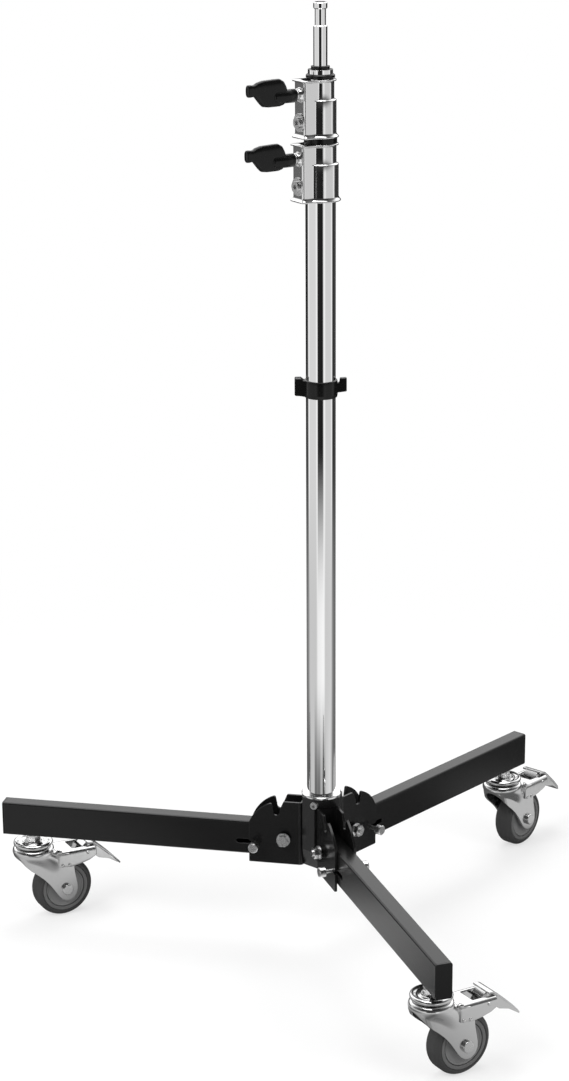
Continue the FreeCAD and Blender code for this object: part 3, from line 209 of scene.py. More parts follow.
# %% World
world = bpy.data.worlds.new("studio")
bpy.context.scene.world = world
world.use_nodes = True
tree = world.node_tree
tree.nodes.clear()
direction = tree.nodes.new("ShaderNodeTexCoord")
split = tree.nodes.new("ShaderNodeSeparateXYZ")
tree.links.new(direction.outputs["Generated"], split.inputs[0])
walls = shades_round_column(tree, split.outputs["X"], split.outputs["Y"], FAR_SHADES)
upper = shades_round_column(tree, split.outputs["X"], split.outputs["Y"], UPPER_SHADES)
upper = add_math(tree, "MULTIPLY", upper, UPPER_GAIN)
mirrored = blended(tree, eased(tree, split.outputs["Z"], *WALLS_TO_UPPER), walls, upper)
mirrored = blended(tree, eased(tree, split.outputs["Z"], *UPPER_TO_TOP), mirrored, TOP_SHADE)
rays = tree.nodes.new("ShaderNodeLightPath")
light = blended(tree, rays.outputs["Is Glossy Ray"], EVEN_LIGHT, mirrored)
seen = blended(tree, rays.outputs["Is Camera Ray"], light, 1.0)
shine = tree.nodes.new("ShaderNodeBackground")
tree.links.new(seen, shine.inputs["Color"])
exit_node = tree.nodes.new("ShaderNodeOutputWorld")
tree.links.new(shine.outputs[0], exit_node.inputs["Surface"])
bpy.context.scene.view_settings.view_transform = "Standard"

# %% Floor
FLOOR_HALF = 30.0
floor_mesh = bpy.data.meshes.new("floor")
floor_corners = [(x * FLOOR_HALF, y * FLOOR_HALF, 0) for x, y in ((-1, -1), (1, -1), (1, 1), (-1, 1))]
floor_mesh.from_pydata(floor_corners, [], [(0, 1, 2, 3)])
floor = bpy.data.objects.new("floor", floor_mesh)
bpy.context.scene.collection.objects.link(floor)
paper = bpy.data.materials.new("white_paper")
paper.use_nodes = True
tree = paper.node_tree
paper_shader = tree.nodes["Principled BSDF"]
paper_shader.inputs["Base Color"].default_value = (0.9, 0.9, 0.9, 1.0)
paper_shader.inputs["Roughness"].default_value = 0.9
place = tree.nodes.new("ShaderNodeTexCoord")
split = tree.nodes.new("ShaderNodeSeparateXYZ")
tree.links.new(place.outputs["Object"], split.inputs[0])
x, y = split.outputs["X"], split.outputs["Y"]
reach = distance_on_floor(tree, x, y)
near = shades_round_column(tree, x, y, NEAR_SHADES)
far = shades_round_column(tree, x, y, FAR_SHADES)
close = shades_round_column(tree, x, y, CLOSE_SHADES)
pattern = blended(tree, eased(tree, reach, *CLOSE_TO_NEAR), close, near)
pattern = blended(tree, eased(tree, reach, *NEAR_TO_FAR), pattern, far)
from_card = [add_math(tree, "SUBTRACT", value, middle) for value, middle in zip((x, y), CARD_PLACE)]
pattern = blended(tree, eased(tree, distance_on_floor(tree, *from_card), *CARD_EDGE), CARD_SHADE, pattern)
rays = tree.nodes.new("ShaderNodeLightPath")
glow_colour = blended(tree, rays.outputs["Is Glossy Ray"], 1.0, pattern)
glow = tree.nodes.new("ShaderNodeEmission")
tree.links.new(glow_colour, glow.inputs["Color"])
whiter = eased(tree, reach, *SHADOW_TO_WHITE)
plain = add_math(tree, "MULTIPLY_ADD", whiter, 1.0 - SHADOW_WHITE, SHADOW_WHITE)
for_mirror = add_math(tree, "MULTIPLY", rays.outputs["Is Glossy Ray"], eased(tree, reach, *PAPER_TO_CLOSE))
for_camera = add_math(tree, "MULTIPLY", rays.outputs["Is Camera Ray"], plain)
either = add_math(tree, "ADD", for_mirror, for_camera)
surface_mix = tree.nodes.new("ShaderNodeMixShader")
tree.links.new(either, surface_mix.inputs[0])
tree.links.new(paper_shader.outputs[0], surface_mix.inputs[1])
tree.links.new(glow.outputs[0], surface_mix.inputs[2])
tree.links.new(surface_mix.outputs[0], tree.nodes["Material Output"].inputs["Surface"])
floor_mesh.materials.append(paper)

# %% Lamps
AIM_HEIGHT = 0.45


def soft_box(name, azimuth_degrees, distance, height, width, watts):
    """A square area lamp that faces the column and doesn't show in mirrors."""
    lamp = bpy.data.lights.new(name, "AREA")
    lamp.shape = "RECTANGLE"
    lamp.size, lamp.size_y = width, width
    lamp.energy = watts
    item = bpy.data.objects.new(name, lamp)
    place = turned_about_column(azimuth_degrees, distance, 0.0, height)
    aim = Vector((0.0, 0.0, AIM_HEIGHT)) - place
    item.matrix_world = Matrix.Translation(place) @ aim.to_track_quat("-Z", "Y").to_matrix().to_4x4()
    item.visible_glossy = False
    bpy.context.scene.collection.objects.link(item)


soft_box("key", camera_side - 50, 2.6, 2.4, 1.6, 60.0)
soft_box("fill", camera_side + 55, 2.8, 1.8, 1.6, 35.0)
soft_box("overhead", camera_side + 180, 1.2, 2.9, 1.4, 30.0)

# %% [markdown]
# ## Finishes
# Every finish reads Object coordinates, so a pattern keeps its real size on every piece. Two effects
# turn up in many finishes and are node groups: a fine grain, which gives small changes of roughness
# and a bump, and rounded edges, which bends the shading over the last fraction of a millimetre where
# two faces meet, as on any sawn, cast or pressed part, and tells how near an edge is.

# %% Grain and edges as node groups
NOISE_SPAN = (0.3, 0.7)
EDGE_SPAN = (0.99, 0.80)
RELIEF_HEIGHT = 0.0002


def new_group(name, inputs, outputs):
    """A shader node group; inputs are (name, kind, value) and outputs are (name, kind)."""
    group = bpy.data.node_groups.new(name, "ShaderNodeTree")
    for label, kind, value in inputs:
        socket = group.interface.new_socket(name=label, in_out="INPUT", socket_type=kind)
        socket.default_value = value
    for label, kind in outputs:
        group.interface.new_socket(name=label, in_out="OUTPUT", socket_type=kind)
    return group, group.nodes.new("NodeGroupInput"), group.nodes.new("NodeGroupOutput")


FLOAT, VECTOR = "NodeSocketFloat", "NodeSocketVector"
grain, grain_in, grain_out = new_group(
    "fine_grain",
    [("Scale", FLOAT, 900.0), ("Low", FLOAT, 0.3), ("High", FLOAT, 0.4)],
    [("Mask", FLOAT), ("Roughness", FLOAT)],
)
place = grain.nodes.new("ShaderNodeTexCoord")
noise = grain.nodes.new("ShaderNodeTexNoise")
noise.inputs["Detail"].default_value = 4.0
grain.links.new(place.outputs["Object"], noise.inputs["Vector"])
grain.links.new(grain_in.outputs["Scale"], noise.inputs["Scale"])
spread = grain.nodes.new("ShaderNodeMapRange")
spread.inputs["From Min"].default_value, spread.inputs["From Max"].default_value = NOISE_SPAN
grain.links.new(noise.outputs[0], spread.inputs["Value"])
grain.links.new(grain_in.outputs["Low"], spread.inputs["To Min"])
grain.links.new(grain_in.outputs["High"], spread.inputs["To Max"])
grain.links.new(noise.outputs[0], grain_out.inputs["Mask"])
grain.links.new(spread.outputs[0], grain_out.inputs["Roughness"])

edges, edges_in, edges_out = new_group(
    "rounded_edges",
    [("Radius", FLOAT, 0.0006)],
    [("Normal", VECTOR), ("Edge", FLOAT)],
)
bevel = edges.nodes.new("ShaderNodeBevel")
bevel.samples = 6
edges.links.new(edges_in.outputs["Radius"], bevel.inputs["Radius"])
surface = edges.nodes.new("ShaderNodeNewGeometry")
likeness = edges.nodes.new("ShaderNodeVectorMath")
likeness.operation = "DOT_PRODUCT"
edges.links.new(bevel.outputs[0], likeness.inputs[0])
edges.links.new(surface.outputs["Normal"], likeness.inputs[1])
near = edges.nodes.new("ShaderNodeMapRange")
near.inputs["From Min"].default_value, near.inputs["From Max"].default_value = EDGE_SPAN
edges.links.new(likeness.outputs["Value"], near.inputs["Value"])
edges.links.new(bevel.outputs[0], edges_out.inputs["Normal"])
edges.links.new(near.outputs[0], edges_out.inputs["Edge"])


# %% A finish from its values
def finish_material(name, shade, edge_wear_and_highlight, metallic, roughness, scale, bump, radius, sheen=0.5):
    """A grey that lightens towards a second grey at the edges, partly wear and partly a painted highlight, with grain
    in its roughness and relief.

    The grain is 'scale' cells a metre, roughness runs between two values, and 'radius' rounds edges."""
    material = bpy.data.materials.new(name)
    material.use_nodes = True
    tree = material.node_tree
    shader = tree.nodes["Principled BSDF"]
    shader.inputs["Metallic"].default_value = metallic
    shader.inputs["Specular IOR Level"].default_value = sheen
    texture = tree.nodes.new("ShaderNodeGroup")
    texture.node_tree = grain
    texture.inputs["Scale"].default_value = scale
    texture.inputs["Low"].default_value, texture.inputs["High"].default_value = roughness
    tree.links.new(texture.outputs["Roughness"], shader.inputs["Roughness"])
    corner = tree.nodes.new("ShaderNodeGroup")
    corner.node_tree = edges
    corner.inputs["Radius"].default_value = radius
    # Painted highlight and wear: near an edge the base colour goes over to the lighter edge grey, which stands in
    # partly for wear and partly for the shine along rounded edges.
    paint = tree.nodes.new("ShaderNodeMix")
    paint.data_type = "RGBA"
    paint.inputs["A"].default_value = (shade, shade, shade, 1.0)
    paint.inputs["B"].default_value = (edge_wear_and_highlight, edge_wear_and_highlight, edge_wear_and_highlight, 1.0)
    tree.links.new(corner.outputs["Edge"], paint.inputs["Factor"])
    tree.links.new(paint.outputs["Result"], shader.inputs["Base Color"])
    relief = tree.nodes.new("ShaderNodeBump")
    relief.inputs["Strength"].default_value = bump
    relief.inputs["Distance"].default_value = RELIEF_HEIGHT
    tree.links.new(texture.outputs["Mask"], relief.inputs["Height"])
    tree.links.new(corner.outputs["Normal"], relief.inputs["Normal"])
    tree.links.new(relief.outputs["Normal"], shader.inputs["Normal"])
    return material


# The second grey of each finish is its edge colour: partly wear, partly a painted highlight along rounded edges.
chrome = finish_material("chrome_tube", 0.93, 0.96, 1.0, (0.02, 0.05), 300.0, 0.01, 0.0003)
cast_metal = finish_material("polished_casting", 0.84, 0.95, 1.0, (0.06, 0.12), 500.0, 0.06, 0.0007)
black_coat = finish_material("black_powder_coat", 0.006, 0.05, 0.0, (0.18, 0.27), 1500.0, 0.12, 0.0007, 0.36)
black_plastic = finish_material("black_plastic", 0.003, 0.02, 0.0, (0.18, 0.27), 2200.0, 0.10, 0.0006, 0.30)
zinc = finish_material("zinc_fastener", 0.80, 0.90, 1.0, (0.22, 0.34), 800.0, 0.08, 0.0003)
bright_zinc = finish_material("caster_zinc", 0.74, 0.92, 1.0, (0.12, 0.22), 260.0, 0.05, 0.0005)
rubber = finish_material("tyre_rubber", 0.036, 0.06, 0.0, (0.50, 0.65), 1400.0, 0.25, 0.0005)
core_plastic = finish_material("wheel_core_plastic", 0.15, 0.22, 0.0, (0.35, 0.45), 1200.0, 0.12, 0.0004)
ring_rubber = finish_material("rim_ring_rubber", 0.10, 0.14, 0.0, (0.45, 0.58), 1200.0, 0.15, 0.0004)
glide_plastic = finish_material("glide_plastic", 0.75, 0.80, 0.0, (0.40, 0.50), 1200.0, 0.12, 0.0003)

SLOT_FINISH = {
    "chrome_tube": chrome,
    "cast_collar": cast_metal,
    "black_paint": black_coat,
    "black_plastic": black_plastic,
    "zinc_fasteners": zinc,
    "caster_zinc": bright_zinc,
    "tyre": rubber,
    "wheel_core": core_plastic,
    "white_plastic": glide_plastic,
}
for entry in frame["record"]["subparts"]:
    solid = nodes[entry["node"]]
    solid.data.materials.clear()
    solid.data.materials.append(SLOT_FINISH[entry["material_slot"]])
print(len(SLOT_FINISH), "finishes for the record's slots and one more for the tyres' inner ring")

# %% [markdown]
# ## Surfaces from numbers
# A curved piece is a grid of points: one direction runs along the piece and the other round it. The
# grid is worked out as one array, neighbouring points are joined by four-sided faces, and rows that
# shrink to a point are welded there, so the piece is closed. Shapes are drawn in millimetres, in the
# leg's or the caster's own axes, and become metres when they are set in their place.

# %% A grid becomes a mesh
WELD_REACH = 1e-6
SHORTEST_EDGE = 1e-7


def full_turn(count):
    """Angles in equal steps round a circle, without a second point at the seam."""
    return np.linspace(0, 2 * np.pi, count, endpoint=False)


def grid_faces(rows, columns, around=True):
    """Four-sided faces between neighbouring points; with 'around' the last column meets the first."""
    steps = columns if around else columns - 1
    row, column = np.meshgrid(np.arange(rows - 1), np.arange(steps), indexing="ij")
    following = (column + 1) % columns
    corners = [row * columns + column, row * columns + following]
    corners += [(row + 1) * columns + following, (row + 1) * columns + column]
    return np.stack(corners, axis=-1).reshape(-1, 4)


def settle(name, mesh, body, stands_for):
    """Makes a mesh a piece of the stand: it rides on a body and may stand for solids."""
    piece = bpy.data.objects.new(name, mesh)
    bpy.context.scene.collection.objects.link(piece)
    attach(piece, body)
    if stands_for:
        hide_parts(*stands_for)
    return piece


def add_piece(name, grids, finish, body, stands_for=()):
    """Joins grids of points, in metres, into one smooth mesh that rides on a body.

    The finish is one material, or a list with one material for each grid."""
    finishes = finish if isinstance(finish, list) else [finish] * len(grids)
    kinds = list(dict.fromkeys(finishes))
    mesh = bpy.data.meshes.new(name)
    points, faces, shades, start = [], [], [], 0
    for grid, coat in zip(grids, finishes):
        rows, columns = grid.shape[:2]
        points.append(grid.reshape(-1, 3))
        faces.append(grid_faces(rows, columns) + start)
        shades += [kinds.index(coat)] * len(faces[-1])
        start += rows * columns
    mesh.from_pydata(np.concatenate(points).tolist(), [], np.concatenate(faces).tolist())
    for coat in kinds:
        mesh.materials.append(coat)
    mesh.polygons.foreach_set("material_index", shades)
    weld = bmesh.new()
    weld.from_mesh(mesh)
    bmesh.ops.remove_doubles(weld, verts=weld.verts, dist=WELD_REACH)
    bmesh.ops.dissolve_degenerate(weld, edges=weld.edges, dist=SHORTEST_EDGE)
    bmesh.ops.recalc_face_normals(weld, faces=weld.faces)
    weld.to_mesh(mesh)
    weld.free()
    mesh.shade_smooth()
    return settle(name, mesh, body, stands_for)


# %% Places on the stand
LEG_HEADINGS = {"front": -90.0, "right": 30.0, "left": 150.0}
TRAIL_HEADINGS = {"front": 14.0, "right": 31.0, "left": 10.0}
KNOB_HEADING = 193.0
STEM_REACH = 371.0


def placed(points, heading, seat=(0.0, 0.0, 0.0)):
    """Turns millimetre points about Z by a heading, sets them on a seat and gives metres."""
    c, s = math.cos(math.radians(heading)), math.sin(math.radians(heading))
    spin = np.array([[c, s, 0.0], [-s, c, 0.0], [0.0, 0.0, 1.0]])
    return (points @ spin + np.array(seat)) / 1000.0


def on_leg(points, side):
    """The leg's own axes: Z up the column, +X outwards along the leg."""
    return placed(points, LEG_HEADINGS[side])


def on_caster(points, side):
    """The caster's own axes: Z up its swivel axis, +X the way it trails."""
    angle = math.radians(LEG_HEADINGS[side])
    seat = (STEM_REACH * math.cos(angle), STEM_REACH * math.sin(angle), 0.0)
    return placed(points, TRAIL_HEADINGS[side], seat)


def softened_outline(rows, steps=6):
    """Walks round a closed outline of (a, b, radius) corners and rounds each with a tangent arc.

    The arc starts radius * tan(half the turn) before the corner, as a fillet does."""
    rows = np.array(rows, float)
    corners, radii = rows[:, :2], rows[:, 2]
    before = np.roll(corners, 1, axis=0) - corners
    after = np.roll(corners, -1, axis=0) - corners
    before /= np.linalg.norm(before, axis=1, keepdims=True)
    after /= np.linalg.norm(after, axis=1, keepdims=True)
    half = np.arccos(np.clip((before * after).sum(1), -1, 1)) / 2
    middle = (before + after) / np.maximum(np.linalg.norm(before + after, axis=1, keepdims=True), 1e-9)
    centre = corners + middle * (radii / np.sin(half))[:, None]
    tangent = corners + before * (radii / np.tan(half))[:, None] - centre
    finish = corners + after * (radii / np.tan(half))[:, None] - centre
    t = np.linspace(0.0, 1.0, steps)[None, :, None]
    sweep = (np.pi - 2 * half)[:, None, None]
    arc = np.sin((1 - t) * sweep) * tangent[:, None] + np.sin(t * sweep) * finish[:, None]
    return (centre[:, None] + arc / np.sin(sweep)).reshape(-1, 2)


# %% [markdown]
# ## Folding brackets
# A bracket is one sheet folded into a U round the hub's face. Its two plates have an outline that a
# sawn disc can't show: a seat for the lock pin that is open at the outer edge, a deep notch with soft
# lips where the pin rests once the leg is folded up, and a level edge towards the hub. An outline
# becomes a solid when it is carried straight across its own plane: two copies, joined side by side.

# %% Brackets
SAME_POINT = 1e-4
SHARP_FROM = 35
ROUNDED_FROM = 40


def prism(outline, low, high, across):
    """Carries a closed outline from low to high; 'across' puts (a, b, carried) in X, Y, Z order."""
    outline = np.array(outline, float)
    keep = np.linalg.norm(outline - np.roll(outline, 1, axis=0), axis=1) > SAME_POINT
    outline = outline[keep]
    count = len(outline)
    caps = [np.column_stack([outline, np.full(count, level)]) for level in (low, high)]
    points = np.concatenate(caps)[:, across]
    sides = [[i, (i + 1) % count, (i + 1) % count + count, i + count] for i in range(count)]
    return points, [list(range(count))[::-1], list(range(count, 2 * count))] + sides


def round_edges(piece, width, from_degrees):
    """Rounds every edge at which two faces turn by more than an angle."""
    edge = piece.modifiers.new("rounding", "BEVEL")
    edge.width = width
    edge.segments = 2
    edge.limit_method = "ANGLE"
    edge.angle_limit = math.radians(from_degrees)


def add_solids(name, solids, finish, body, stands_for, rounding):
    """Joins closed solids, as (points, faces) pairs in metres, into one object with rounded edges."""
    mesh = bpy.data.meshes.new(name)
    points, faces, start = [], [], 0
    for corners, outlines in solids:
        points += corners.tolist()
        faces += [[index + start for index in outline] for outline in outlines]
        start += len(corners)
    mesh.from_pydata(points, [], faces)
    check = bmesh.new()
    check.from_mesh(mesh)
    bmesh.ops.recalc_face_normals(check, faces=check.faces)
    check.to_mesh(mesh)
    check.free()
    mesh.materials.append(finish)
    mesh.shade_smooth()
    mesh.set_sharp_from_angle(angle=math.radians(SHARP_FROM))
    round_edges(settle(name, mesh, body, stands_for), rounding, ROUNDED_FROM)


PIVOT = (44.0, 142.0)
PLATE_RADIUS = 48.0
PLATE_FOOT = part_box("bracket_front")[0].z * 1000
PLATE_TOP = 190.0
PLATE_END = 88.4
SHEET = 3.0
OUTSIDE = 13.65
INSIDE = OUTSIDE - SHEET
FOLD_FACE = 20.5
FOLD_END = 25.5
FOLD_BEND = 4.9
OVERLAP = 0.8


def plate_outline():
    """Corners as (outwards, up, rounding): foot, seat, the arc about the pivot, notch and level top."""
    start = FOLD_END - OVERLAP
    foot = [(start, PLATE_FOOT, 0.0), (PLATE_END, PLATE_FOOT, 1.0)]
    seat = [(PLATE_END, 129.7, 0.8), (77.2, 129.7, 2.7), (77.2, 135.3, 2.7), (PLATE_END, 135.3, 0.8)]
    turn = np.radians(np.arange(26, 68, 3))
    arc = [PIVOT[0] + PLATE_RADIUS * np.cos(turn), PIVOT[1] + PLATE_RADIUS * np.sin(turn), 0 * turn]
    notch = [(60.2, 187.0, 1.8), (58.0, 176.5, 0.0), (57.7, 171.4, 3.9), (49.6, 171.4, 3.9), (49.2, 180.0, 1.0)]
    top = [(45.0, 189.9, 2.2), (start, PLATE_TOP, 0.0)]
    return softened_outline([*foot, *seat, (PLATE_END, 160.2, 0.0), *np.stack(arc, -1), *notch, *top])


def channel_outline():
    """The fold seen from above: (outwards, across) corners of the U with its bend radii."""
    outer = [(FOLD_FACE, -OUTSIDE, FOLD_BEND), (FOLD_FACE, OUTSIDE, FOLD_BEND), (FOLD_END, OUTSIDE, 0)]
    back, bend = FOLD_FACE + SHEET, FOLD_BEND - SHEET
    inner = [(FOLD_END, INSIDE, 0), (back, INSIDE, bend), (back, -INSIDE, bend), (FOLD_END, -INSIDE, 0)]
    return softened_outline([(FOLD_END, -OUTSIDE, 0), *outer, *inner])


for side in SIDES:
    solids = [prism(channel_outline(), PLATE_FOOT, PLATE_TOP, [0, 1, 2])]
    solids += [prism(plate_outline(), low, low + SHEET, [0, 2, 1]) for low in (-OUTSIDE, INSIDE)]
    solids = [(on_leg(points, side), faces) for points, faces in solids]
    add_solids("bracket_sheet_" + side, solids, black_coat, "base", ("bracket_" + side,), 0.0005)
print("three brackets,", len(plate_outline()), "points round each plate")

# %% [markdown]
# ## Locking collars
# Each collar is a polished casting: a round barrel with a square nose for the screws, a step half way
# up the barrel, a skirt that flares at the foot and a thin lip at the top. Seen from above, its outline
# at any height is the larger of a circle and a box, so the casting is a stack of such outlines. The
# box's corners come from a superellipse, and the power mean of the two shapes fills the inner corner
# where the nose leaves the barrel.

# %% Collars
COLLARS = {"lower": ("base", 35.0, 30.0), "upper": ("middle_riser", 30.0, 25.0)}
BARREL_WALL = 3.2
NOSE_REACH = 9.6
NOSE_HALF = 12.0
STEP = 2.5
BORE_PLAY = 0.1
COLLAR_HEIGHT = 65.5
SCREW_HEIGHT = 49.0
BOX_POWER = 14
FILL_POWER = 18
SCREW_BOSS = [(-1, 9.0), (0.6, 8.2), (3.4, 7.6), (4.0, 7.2), (4.0, 4.1), (-1, 4.1), (-1, 9.0)]


def collar_outline(angles, barrel, nose, half):
    """Distance from the axis at each angle: power mean of a circle and a rounded box towards angle 0."""
    ahead = np.clip(np.cos(angles), 0.0, None)
    box = ((ahead / nose) ** BOX_POWER + (np.abs(np.sin(angles)) / half) ** BOX_POWER) ** (-1 / BOX_POWER)
    box = np.where(ahead > 0, box, 0.0)
    return (barrel**FILL_POWER + box**FILL_POWER) ** (1 / FILL_POWER)


def collar_grid(foot, barrel, bore):
    """Rows of (height, round part, growth) up the outside, over the lip and back down the bore."""
    waist = barrel - STEP
    flare = 2.6 * (1 - np.linspace(0.0, 1.0, 7)) ** 2
    stations = [(0.0, barrel, 2.2), (0.3, barrel, 2.6), (1.1, barrel, 2.6)]
    stations += [(1.2 + 4.6 * index / 6, barrel, value) for index, value in enumerate(flare)]
    stations += [(20.0, barrel, 0.0), (41.8, barrel, 0.0), (42.5, barrel - 0.3, 0.0), (42.8, barrel - 0.9, 0.0)]
    stations += [(42.9, waist + 0.9, 0.0), (43.1, waist + 0.3, 0.0), (43.8, waist, 0.0), (61.5, waist, 0.0)]
    stations += [(62.6 + 1.2 * index / 4, waist, 2.4 * (index / 4) ** 2) for index in range(5)]
    stations += [(65.2, waist, 2.4), (COLLAR_HEIGHT, waist, 2.1)]
    angles = np.linspace(-np.pi, np.pi, 480, endpoint=False)
    nose = barrel + NOSE_REACH
    rings = [
        (height, collar_outline(angles, round_part + grown, nose + grown, NOSE_HALF + grown))
        for height, round_part, grown in stations
    ]
    rings += [(COLLAR_HEIGHT, bore), (0.0, bore), rings[0]]
    rows = [
        np.stack([radius * np.cos(angles), radius * np.sin(angles), angles * 0 + foot + height], -1)
        for height, radius in rings
    ]
    return np.array(rows)


def turned_along_x(profile, centre, columns=48):
    """Carries (distance along X, radius) pairs round an axis along X through a centre."""
    around = full_turn(columns)
    rows = [
        np.stack([around * 0 + centre[0] + x, centre[1] + r * np.cos(around), centre[2] + r * np.sin(around)], -1)
        for x, r in profile
    ]
    return np.array(rows)


def nose_centre(name):
    """The point where the knob's axis leaves the collar's nose, with the knob towards +X."""
    tube = COLLARS[name][1]
    return np.array([tube / 2 + BARREL_WALL + NOSE_REACH, 0.0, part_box(name + "_collar")[0].z * 1000 + SCREW_HEIGHT])


for name, (body, tube, inner) in COLLARS.items():
    barrel = tube / 2 + BARREL_WALL
    casting = collar_grid(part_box(name + "_collar")[0].z * 1000, barrel, inner / 2 + BORE_PLAY)
    grids = [placed(grid, KNOB_HEADING) for grid in (casting, turned_along_x(SCREW_BOSS, nose_centre(name)))]
    add_piece(name + "_collar_casting", grids, cast_metal, body, (name + "_collar",))
    print(name, "collar is", round(2 * barrel, 1), "mm across its barrel")

# %% [markdown]
# ## Knobs
# A knob is a moulded grip: a thick wing with a nub at its end, on a round barrel that takes the steel
# screw. The wing is a loft. At each distance from the collar it has a middle height, a half height
# and a half thickness, and its section is a superellipse, fuller than an ellipse but without corners.

# %% Knobs
# Distance from the nose, middle height, half height and half thickness.
WING_STATIONS = [
    (17.5, 3.0, 5.0, 3.0),
    (19.0, 3.2, 9.0, 4.2),
    (22.0, 4.2, 13.2, 5.0),
    (27.0, 4.9, 15.3, 5.4),
    (34.0, 4.8, 15.4, 5.6),
    (42.0, 4.6, 15.2, 5.6),
    (49.0, 4.9, 14.6, 5.4),
    (53.0, 6.4, 12.2, 5.0),
    (56.5, 8.0, 9.6, 4.6),
    (59.0, 8.8, 7.2, 4.4),
    (61.5, 8.9, 6.4, 4.3),
    (65.0, 8.9, 6.9, 4.4),
    (67.5, 8.9, 6.8, 4.4),
    (68.4, 8.9, 5.8, 3.6),
]
KNOB_BARREL = [
    (30.0, 0.0), (30.0, 4.1), (6.4, 4.1), (6.4, 7.0), (7.0, 7.6), (20, 7.7), (33.0, 7.7), (35.5, 7.0), (36.4, 0.0),
]
ACROSS_POWER = 0.6
UPWARD_POWER = 0.8


def with_ends(grid):
    """Closes a tube of points: before and after it comes a row shrunk to the middle of its end row."""
    start, end = grid[:1].mean(1, keepdims=True), grid[-1:].mean(1, keepdims=True)
    columns = grid.shape[1]
    return np.concatenate([np.repeat(start, columns, 1), grid, np.repeat(end, columns, 1)])


def wing_grid():
    """Superellipse sections: each runs round with its cosine and sine raised to a power under one."""
    stations = np.array(WING_STATIONS)
    fine = np.linspace(stations[0, 0], stations[-1, 0], 60)[:, None]
    middle, tall, thick = (np.interp(fine, stations[:, 0], stations[:, column]) for column in (1, 2, 3))
    around = full_turn(72)
    across = np.sign(np.cos(around)) * np.abs(np.cos(around)) ** ACROSS_POWER
    upward = np.sign(np.sin(around)) * np.abs(np.sin(around)) ** UPWARD_POWER
    return with_ends(np.stack([fine + 0 * around, thick * across, middle + tall * upward], -1))


for name in COLLARS:
    centre = nose_centre(name)
    grids = [placed(grid, KNOB_HEADING) for grid in (wing_grid() + centre, turned_along_x(KNOB_BARREL, centre))]
    add_piece(name + "_knob_grip", grids, black_plastic, name + "_handle", (name + "_knob",))
    print(name, "knob stands", round(centre[2]), "mm above the floor")

# %% [markdown]
# ## Cable clip
# The clip is a moulded band round the lower tube with a slit lug on one side and a small tab on the
# other. The lug's and the tab's outlines are drawn in the upright plane through the tube's axis.

# %% Clip
# The band is (radius, height, rounding); lug and tab are (outwards, height, rounding).
CLIP_HEADING = 161.0
clip_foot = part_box("tube_clip")[0].z * 1000
BAND_PROFILE = [
    (17.5, 0.0, 0.2), (19.3, 0.0, 0.9), (19.9, 4.0, 2.0), (19.9, 16.5, 2.0), (19.3, 20.4, 0.9), (17.5, 20.4, 0.2),
]
LUG_OUTLINE = [
    (17.8, 0.6, 0.0), (24.0, 1.6, 4.0), (30.7, 2.0, 2.0), (30.7, 22.4, 1.4), (23.5, 22.6, 1.2), (20.5, 20.0, 1.0),
    (17.8, 19.6, 0.0),
]
TAB_OUTLINE = [
    (-18.6, 5.0, 0.0), (-30.4, 6.6, 1.2), (-30.4, 22.6, 1.6), (-22.4, 22.4, 1.4), (-21.6, 17.0, 1.0),
    (-18.6, 16.4, 0.0),
]
CLIP_PARTS = [(LUG_OUTLINE, -6.4, -1.0), (LUG_OUTLINE, 1.0, 6.4), (TAB_OUTLINE, -3.5, 3.5)]


def turned_upright(profile, middle=0.0, columns=96):
    """Carries (radius, height) points round an upright axis that stands 'middle' out along X."""
    around = full_turn(columns)
    radius, height = profile[:, 0, None], profile[:, 1, None]
    return np.stack([middle + radius * np.cos(around), radius * np.sin(around), height + 0 * around], -1)


band = softened_outline(BAND_PROFILE, 5)
band = turned_upright(np.concatenate([band, band[:1]]) + (0, clip_foot))
add_piece("clip_band", [placed(band, CLIP_HEADING)], black_plastic, "base", ("tube_clip",))
solids = []
for outline, low, high in CLIP_PARTS:
    points, faces = prism(softened_outline(outline, 5), low, high, [0, 2, 1])
    solids.append((placed(points + (0, 0, clip_foot), CLIP_HEADING), faces))
add_solids("clip_lugs", solids, black_plastic, "base", ("tube_clip",), 0.0008)
print("the clip's foot is", round(clip_foot), "mm above the floor")

# %% [markdown]
# ## Caster wheels
# A wheel is turned about its axle: a grey plastic core, and a tyre of two rubbers, a lighter ring next
# to the core and a dark one whose shoulders run into the tread in one curve. Each is a profile of
# (radius, width) points with rounded corners, carried round the axle.

# %% Wheels
AXLE = (37.0, 38.0)


def turned_about_axle(profile, columns=120):
    """Carries a closed (radius, width) profile round the axle: X and Z follow a circle, Y is the width."""
    around = full_turn(columns)
    profile = np.concatenate([profile, profile[:1]])
    radius, width = profile[:, 0, None], profile[:, 1, None]
    x = AXLE[0] + radius * np.cos(around)
    z = AXLE[1] + radius * np.sin(around)
    return np.stack([x, width + 0 * x, z], -1)


def both_faces(half_profile):
    """(radius, width, rounding) corners of one side of the wheel, followed by their mirror image."""
    near = np.array(half_profile, float)
    return np.concatenate([near, near[::-1] * (1, -1, 1)])


